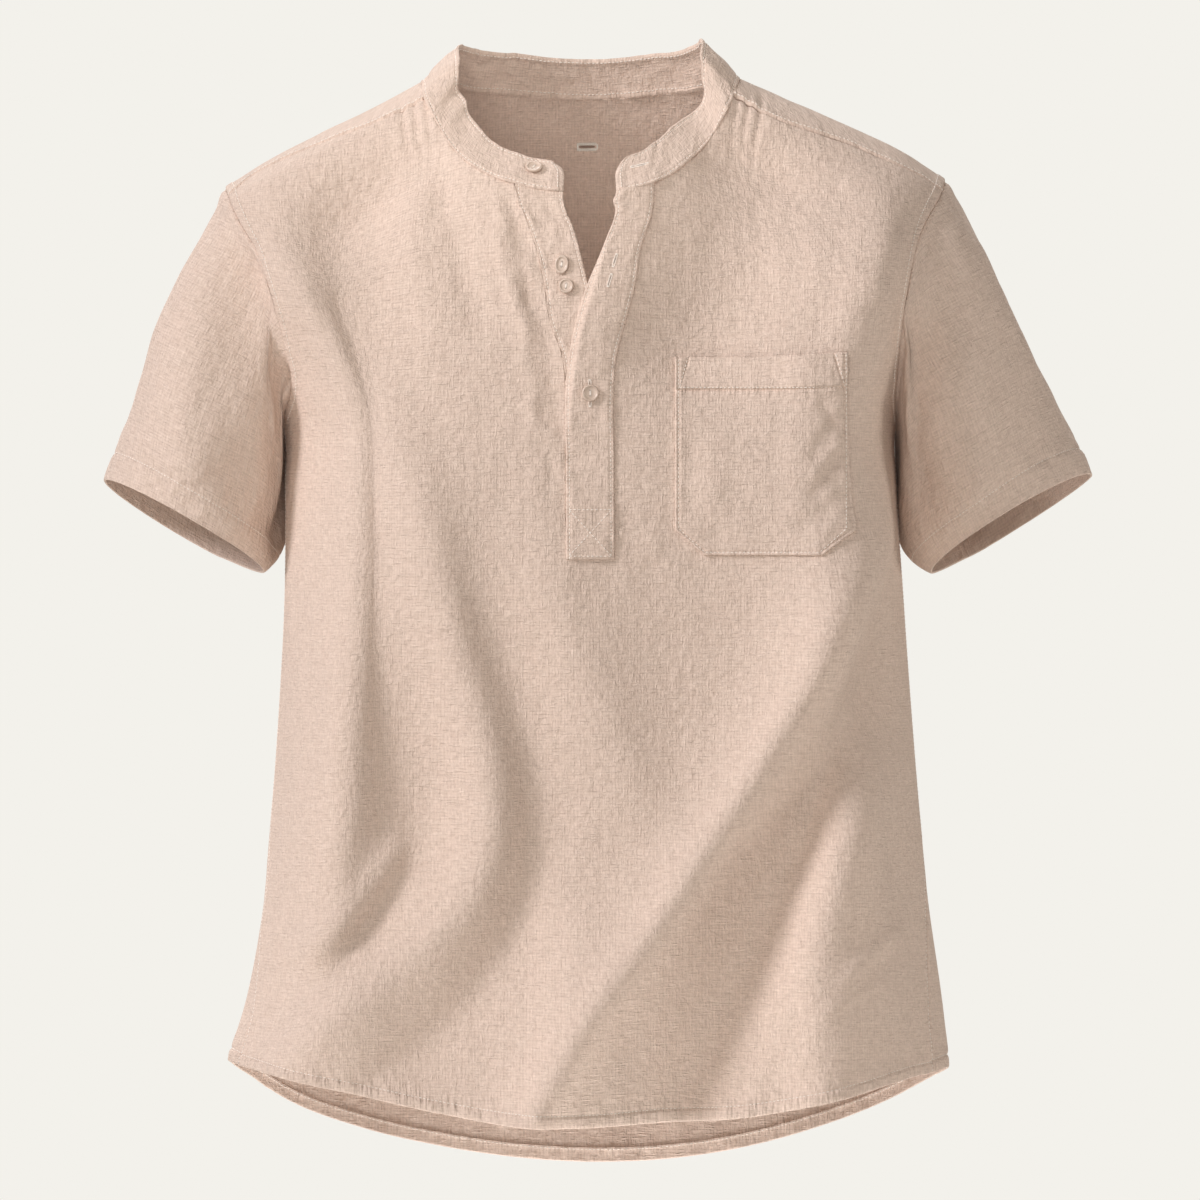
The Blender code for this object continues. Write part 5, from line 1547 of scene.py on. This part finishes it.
# %% Lines on a grid
def level_line(grid, field, value, rows=None, reverse=False):
    """Where a distance field crosses a value, row by row across a grid."""
    points, normals = [], []
    facing = outward(grid)
    for r in rows if rows is not None else range(grid["points"].shape[0]):
        far, line, face = field[r], grid["points"][r], facing[r]
        if reverse:
            far, line, face = far[::-1], line[::-1], face[::-1]
        if far.min() > value or far.max() < value:
            continue
        stop = int(np.argmax(far > value))
        order = slice(max(0, stop - 1), stop + 1)
        share = (value - far[order][0]) / (far[order][-1] - far[order][0] + 1e-12)
        points.append(line[order][0] + (line[order][-1] - line[order][0]) * share)
        normals.append(face[order][0])
    return np.array(points), np.array(normals)


def outward(grid):
    """Grid normals that point away from the body."""
    if "facing" not in grid:
        facing = normals_of(grid["points"])
        start = grid.get("turned", 0)
        middle = grid["axis"][:, None] if "axis" in grid else np.array((0, 0, -0.3))
        away = (facing * (grid["points"] - middle))[start:].sum()
        grid["facing"] = facing * np.sign(away)
    return grid["facing"]

# %% Rows on the body and the sleeves
EDGE_COLUMNS = 14          # the outer columns of a grid, where the armhole lies


def last_columns(grid, start=0):
    return dict(points=grid["points"][start:, -EDGE_COLUMNS:],
                facing=outward(grid)[start:, -EDGE_COLUMNS:])


def body_rows(which):
    marks = []
    for name, _ in SIDES:
        low, high = HUNG[which, name]
        start = low["turned"]
        row = start + int(np.abs(low["up"][start:] - HEM_DEEP).argmin())
        for r in (row, 2):                   # outside, and on the turned layer
            marks += row_of(low["points"][r], outward(low)[r], 1)
        # beside the armhole, over both grids
        lines = []
        for grid in (low, high):
            far = from_line(grid["base"][:, -EDGE_COLUMNS:], grid["seams"][0][0])[0]
            keep = [r for r in range(start if grid is low else 0, len(far))
                    if grid["base"][r, -1, 2] > UNDERARM_HEIGHT]
            lines.append(level_line(last_columns(grid), far, FELL_WIDE, keep, reverse=True))
        points, normals = (np.concatenate([a[i] for a in lines if len(a[i])]) for i in (0, 1))
        marks += row_of(points, normals, 2)
        if which == "front":                 # beside the side seam
            far = from_line(low["base"][start:, -EDGE_COLUMNS:], low["seams"][1][0])[0]
            keep = [r for r in range(len(far)) if low["base"][start + r, -1, 2] < UNDERARM_HEIGHT]
            line = level_line(last_columns(low, start), far, 0.0018, keep, reverse=True)
            marks += row_of(*line, 3)
        else:                                # beside the shoulder seam
            far = from_line(high["base"], high["seams"][2][0])[0]
            part = dict(points=high["points"].transpose(1, 0, 2),
                        facing=outward(high).transpose(1, 0, 2))
            marks += row_of(*level_line(part, far.T, 0.0020, reverse=True), 4)
    return marks


def sleeve_rows(name):
    grid = HUNG["sleeve", name]
    start = grid["turned"]
    row = start + int(np.abs(grid["up"][start:] - CUFF_DEEP).argmin())
    return [mark for r in (row, 2) for mark in row_of(grid["points"][r], outward(grid)[r], 5)]

# %% Rows on the collar
def collar_rows():
    facing, points = outward(band), band["points"]

    def row_at(tall):
        return int(np.abs(band["tall"][:, 0] - tall).argmin())

    foot, top = row_at(BAND_FOOT), row_at(COLLAR_HEIGHT - TOPSTITCH)
    marks = row_of(points[foot, 4:-4], facing[foot, 4:-4], 6)
    for r in (row_at(0.0035), top):                          # the same rows inside
        marks += row_of((points - facing * BAND_THICK)[r, 6:-6], -facing[r, 6:-6], 6)
    # the free edge: up one end, along the top and down the other end
    line, normals = [], []
    for r in range(foot + 1, len(points)):
        if band["tall"][r, 0] < COLLAR_HEIGHT - TOPSTITCH:
            k = int(np.argmax(band["from_end"][r] > TOPSTITCH))
            line.append(points[r, k])
            normals.append(facing[r, k])
    line += list(points[top, 4:-4])
    normals += list(facing[top, 4:-4])
    for r in range(top - 1, foot, -1):
        keep = band["from_end"][r] > TOPSTITCH
        k = len(keep) - 1 - int(np.argmax(keep[::-1]))
        line.append(points[r, k])
        normals.append(facing[r, k])
    return marks + row_of(np.array(line), np.array(normals), 7)

# %% Rows drawn as seen from the front
def on_surface(grid, x, z):
    """Where a grid shows at x, z from the front, and its normal there."""
    points, facing = grid["points"], outward(grid)
    away = np.hypot(points[..., 0] - x, points[..., 2] - z)
    r, c = np.unravel_index(away.argmin(), away.shape)
    normal = facing[r, c]
    spot = np.array([x, 0, z])
    spot[1] = points[r, c, 1] - (normal[0] * (x - points[r, c, 0])
                                 + normal[2] * (z - points[r, c, 2])) / normal[1]
    return spot, normal


def drawn(grid, corners, seed):
    """Stitches along straight runs between places given as seen from the front."""
    marks = []
    for (x0, z0), (x1, z1) in zip(corners, corners[1:]):
        steps = max(3, int(math.hypot(x1 - x0, z1 - z0) / 0.0015))
        hits = [on_surface(grid, x0 + (x1 - x0) * s, z0 + (z1 - z0) * s)
                for s in np.linspace(0, 1, steps)]
        marks += row_of(*(np.array(part) for part in zip(*hits)), seed)
    return marks


def strip_rows(grid, which):
    marks = []
    for far, flip in ((grid["left_far"], False), (grid["right_far"], True)):
        points, normals = level_line(grid, far, STRIP_STITCH, reverse=flip)
        if which == "over" and flip:
            points, normals = points[3:], normals[3:]
        marks += row_of(points, normals, 8)
    if which == "over":                      # the box and its cross
        left, right = BOX_SIDES
        low, high = BOX_BOTTOM + STRIP_STITCH, BOX_TOP
        for start, end in ((high, high), (low, low), (low, high), (high, low)):
            marks += drawn(grid, [(left, start), (right, end)], 9)
    return marks


def pocket_rows():
    p, inset = POCKET, 0.0008                # at the corners, the row cuts in by this
    left, right = p["left"] + STRIP_STITCH, p["right"] - STRIP_STITCH
    top, foot = p["top"] - 0.001, p["bottom"] + STRIP_STITCH
    corner = p["bottom"] + p["corner_up"] + inset
    along = p["corner_in"] + inset
    marks = drawn(pocket, [(left, top), (left, corner), (p["left"] + along, foot),
                           (p["right"] - along, foot), (right, corner), (right, top)], 10)
    band_z = p["top"] - POCKET_BAND
    marks += drawn(pocket, [(left, band_z), (right, band_z)], 11)
    for low, way in ((left + 0.0006, 1), (right - 0.0006, -1)):
        marks += drawn(pocket, [(low + way * POCKET_SLANT, top), (low, band_z)], 12)
    return marks

# %% Sew it all
sew("stitches_front", body_rows("front"))
sew("stitches_back", body_rows("back"))
for name, _ in SIDES:
    sew("stitches_sleeve_" + name, sleeve_rows(name))
sew("stitches_collar", collar_rows())
sew("stitches_under", strip_rows(under, "under"))
sew("stitches_over", strip_rows(over, "over"))
sew("stitches_pocket", pocket_rows())

# %% [markdown]
# ## Buttonholes
# A buttonhole is a slit whose two lips are bound by a dense row of thread
# across the edge, with a bar at each end. The same small stitch makes it, only
# shorter and set side by side. The dark slit between is painted shade: a thin
# sliver of dark mesh sunk between the lips. A shirt also has one such stitched
# slot inside the back, below the collar, to hang it by.

# %% Buttonholes and the hanging slot
# painted shade: a dark sheet in each slit stands for the shade inside the opening
SLIT_SHADE, tree, shader = material("slit_shadow", Roughness=1.0, Specular_IOR_Level=0.0)
speck = put(tree, "TexNoise", Scale=700.0,
            Vector=put(tree, "TexCoord").outputs["Object"]).outputs[0]
tree.links.new(mixed(tree, speck, (0.24, 0.17, 0.13, 1), (0.34, 0.25, 0.20, 1)),
               shader.inputs["Base Color"])
LOOP_PITCH, LOOP_THICK = 0.00042, 0.00046    # threads of a lip, side by side
BAR_PITCH, BAR_THICK = 0.00026, 0.00042


def buttonhole(grid, x, z, angle, long, wide, seed, lip=0.0009, inside=0.0):
    """Stitches of a buttonhole at `angle` from upright, and the place of its slit's painted shade.
    """
    spot, normal = on_surface(grid, x, z)
    if inside:
        normal = -normal
        spot = spot + normal * inside
    up = np.array([math.sin(angle), 0, math.cos(angle)])
    up = unit(up - normal * (up @ normal))
    side = np.cross(normal, up)
    noise = np.random.default_rng(seed)
    marks = []
    count = int(long / LOOP_PITCH)
    for way in (-1, 1):
        for i in range(count):
            s = (i + 0.5) / count - 0.5
            place = spot + up * s * long + side * way * (wide + lip) / 2 + normal * 0.0001
            marks.append((place, side, normal, lip * noise.uniform(0.95, 1.15), LOOP_THICK))
    for end in (-1, 1):                      # the bars
        for i in range(4):
            place = spot + up * end * (long / 2 + 0.0002 + i * BAR_PITCH) + normal * 0.00014
            reach = (wide + 2 * lip) * noise.uniform(0.92, 1.0)
            marks.append((place, side, normal, reach, BAR_THICK))
    return marks, (spot - normal * 0.00002, up, side, normal, long, wide)

# %% The slits' painted shade
def slit_shades(name, places):
    """Thin slivers of painted shade, one for each buttonhole slit."""
    mesh = bmesh.new()
    for spot, up, side, normal, long, wide in places:
        made = bmesh.ops.create_circle(mesh, cap_ends=True, radius=0.5, segments=16)["verts"]
        turn = Matrix([[side[k] * wide, up[k] * long, normal[k], spot[k]] for k in range(3)]
                      + [[0, 0, 0, 1]])
        bmesh.ops.transform(mesh, matrix=turn, verts=made)
        faces = list({f for v in made for f in v.link_faces})
        raised = bmesh.ops.extrude_face_region(mesh, geom=faces)["geom"]
        bmesh.ops.translate(mesh, vec=Vector(normal * 0.00006),
                            verts=[g for g in raised if isinstance(g, bmesh.types.BMVert)])
    bmesh.ops.recalc_face_normals(mesh, faces=mesh.faces)
    data = baked(name, mesh)
    data.materials.append(SLIT_SHADE)
    take(placed(name, data))

# %% Make the buttonholes
over_holes = [buttonhole(over, 0.0177, -0.1086, 0.30, 0.0075, 0.0004, 1),
              buttonhole(over, 0.0143, -0.1217, 0.30, 0.0075, 0.0004, 2),
              buttonhole(over, 0.0013, -0.1960, 0.0, 0.0160, 0.0006, 3)]
sew("buttonholes_over", [m for marks, _ in over_holes for m in marks])
slit_shades("slit_shades_over", [place for _, place in over_holes])
marks, place = buttonhole(band, 0.0340, -0.0457, 1.13, 0.0105, 0.0004, 4)
sew("buttonhole_collar", marks)
slit_shades("slit_shade_collar", [place])
marks, place = buttonhole(HUNG["back", "left"][0], -0.0004, -0.0317, math.pi / 2, 0.0118,
                          0.0018, 5, lip=0.0024, inside=CLOTH + 0.0004)
# painted light: a paler copy of the thread, so that the slot shows in the shade inside the back
sew("hanging_slot", marks, thread_material("lit_thread", (1.0, 0.95, 0.87)))
slit_shades("hanging_slit_shade", [place])

# %% [markdown]
# ## Buttons
# Shirt buttons are turned from horn or shell: a disc with a raised rim, a
# dished middle and two holes. The profile is spun round its axis, and the
# holes are drilled with a boolean, which is how the real ones are made. Thread
# through the holes holds each one.

# %% Button material
def horn(name, pale, dark):
    made, tree, shader = material(name, Roughness=0.34, Coat_Weight=0.25, Coat_Roughness=0.2)
    where = put(tree, "TexCoord").outputs["Object"]
    cloud = put(tree, "TexNoise", Vector=where, Scale=260.0, Detail=3.0, Distortion=1.2).outputs[0]
    fine = put(tree, "TexNoise", Vector=where, Scale=1800.0, Detail=2.0).outputs[0]
    dress(tree, shader, mixed(tree, cloud, (*dark, 1), (*pale, 1)),
          sums(tree, "MULTIPLY", fine, 0.00003))
    return made


HORN = horn("horn", (0.70, 0.56, 0.46), (0.50, 0.37, 0.29))

# %% Buttons
BUTTONS = {                # grid it lies on, out, height, width, length, lean
    "button_collar": (band, -0.0356, -0.0480, 0.0108, 0.0108, 0.5),
    "button_upper": (under, -0.0172, -0.1113, 0.0092, 0.0130, 0.12),
    "button_lower": (under, -0.0143, -0.1255, 0.0100, 0.0100, 0.1),
    "button_middle": (over, 0.0013, -0.1960, 0.0113, 0.0113, 0.0)}
BUTTON_THICK, BUTTON_SEAT = 0.0023, 0.0005
HOLE_WIDE, HOLE_APART = 0.0013, 0.0028
SHANK_LONG, SHANK_THICK = 0.0030, 0.0005


def button_blank(wide, long):
    """A turned disc of radius one half across, with a rim and a dished middle."""
    t, rim = BUTTON_THICK, 0.0011 / wide
    profile = [(0, 0), (0.36, 0), (0.44, 0.10 * t), (0.49, 0.32 * t), (0.5, 0.55 * t),
               (0.485, 0.80 * t), (0.455, 0.95 * t), (0.42, t), (0.5 - rim, 0.97 * t),
               (0.47 - rim, 0.88 * t), (0.44 - rim, 0.72 * t), (0.40 - rim, 0.66 * t),
               (0.22, 0.62 * t), (0, 0.60 * t)]
    mesh = bmesh.new()
    verts = [mesh.verts.new((r, 0, h)) for r, h in profile]
    lines = [mesh.edges.new((a, b)) for a, b in zip(verts, verts[1:])]
    bmesh.ops.spin(mesh, geom=verts + lines, cent=(0, 0, 0), axis=(0, 0, 1),
                   angle=2 * math.pi, steps=48, use_merge=True)
    bmesh.ops.remove_doubles(mesh, verts=mesh.verts, dist=1e-6)
    bmesh.ops.scale(mesh, vec=(wide, long, 1), verts=mesh.verts)
    bmesh.ops.recalc_face_normals(mesh, faces=mesh.faces)
    return mesh


def drilled(mesh, holes):
    """The blank with round holes cut through it."""
    drills = bmesh.new()
    for x, y in holes:
        drill = bmesh.ops.create_cone(drills, cap_ends=True, segments=16,
                                      radius1=HOLE_WIDE / 2, radius2=HOLE_WIDE / 2,
                                      depth=4 * BUTTON_THICK)["verts"]
        bmesh.ops.translate(drills, verts=drill, vec=(x, y, 0))
    blank, tool = (placed("turning", baked("turning", m)) for m in (mesh, drills))
    cut = blank.modifiers.new("holes", "BOOLEAN")
    cut.object, cut.operation, cut.solver = tool, "DIFFERENCE", "EXACT"
    data = with_modifiers(blank)
    bpy.data.objects.remove(tool, do_unlink=True)
    return data

# %% A button on its thread
def button(name, grid, x, z, wide, long, lean):
    spot, normal = on_surface(grid, x, z)
    holes = [(0, HOLE_APART / 2), (0, -HOLE_APART / 2)]
    data = drilled(button_blank(wide, long), holes)
    turn = Vector(normal).to_track_quat("Z", "X").to_matrix().to_4x4()
    up = turn.inverted() @ Vector((0, 0, 1))
    roll = Matrix.Rotation(math.atan2(up.y, up.x) - math.pi / 2 - lean, 4, "Z")
    place = Matrix.Translation(Vector(spot + normal * BUTTON_SEAT)) @ turn @ roll
    data.transform(place)
    coat(data, HORN)
    piece = placed(name + "_turned", data)
    rim = piece.modifiers.new("edge", "BEVEL")
    rim.width, rim.segments, rim.limit_method = 0.0001, 2, "ANGLE"
    rim.angle_limit = math.radians(60)
    take(piece, name)
    # thread through the holes, and the wound shank under the button
    beside, along, out = np.array(place.to_3x3()).T
    marks = [(spot + out * (BUTTON_SEAT + 0.60 * BUTTON_THICK + 0.0001) + beside * side,
              along, out, HOLE_APART + 0.0010, SHANK_THICK) for side in (-0.00032, 0.0, 0.00032)]
    for end in (-1, 1):
        for side in (-0.0002, 0.0002):
            marks.append((spot + along * end * HOLE_APART / 2 + beside * side + out * 0.001,
                          out, along, SHANK_LONG, SHANK_THICK))
    sew(name + "_thread", marks)

# %% Make the buttons
for name, row in BUTTONS.items():
    button(name, *row)

# %% [markdown]
# ## What each sheet was cut to
# Every sheet of cloth has its flat size printed. The maps in metres give
# it: they are the cloth laid flat again, so their reach is the size of the cut
# and their area is the cloth that went into it.

def cut_of(grids):
    marks = [g["marks"] for g in grids]
    low = np.min([m.reshape(-1, 2).min(0) for m in marks], 0)
    high = np.max([m.reshape(-1, 2).max(0) for m in marks], 0)
    return high - low, sum(flat_area(m) for m in marks)


def declare(name, grids):
    size, area = cut_of(grids)
    area = min(area, size[0] * size[1])
    print("%s: %.3f x %.3f m, %.4f m2" % (name, size[0], size[1], area))


for which, fixed in (("front", ["stitches_front"]),
                     ("back", ["stitches_back", "hanging_slot", "hanging_slit_shade"])):
    declare(which + "_panel", HUNG[which, "left"] + HUNG[which, "right"])
for name, _ in SIDES:
    declare("sleeve_%s_panel" % name, [HUNG["sleeve", name]])
declare("collar_piece", [band])
declare("placket_under_strip", [under])
declare("placket_over_strip", [over])
declare("pocket_patch", [pocket])
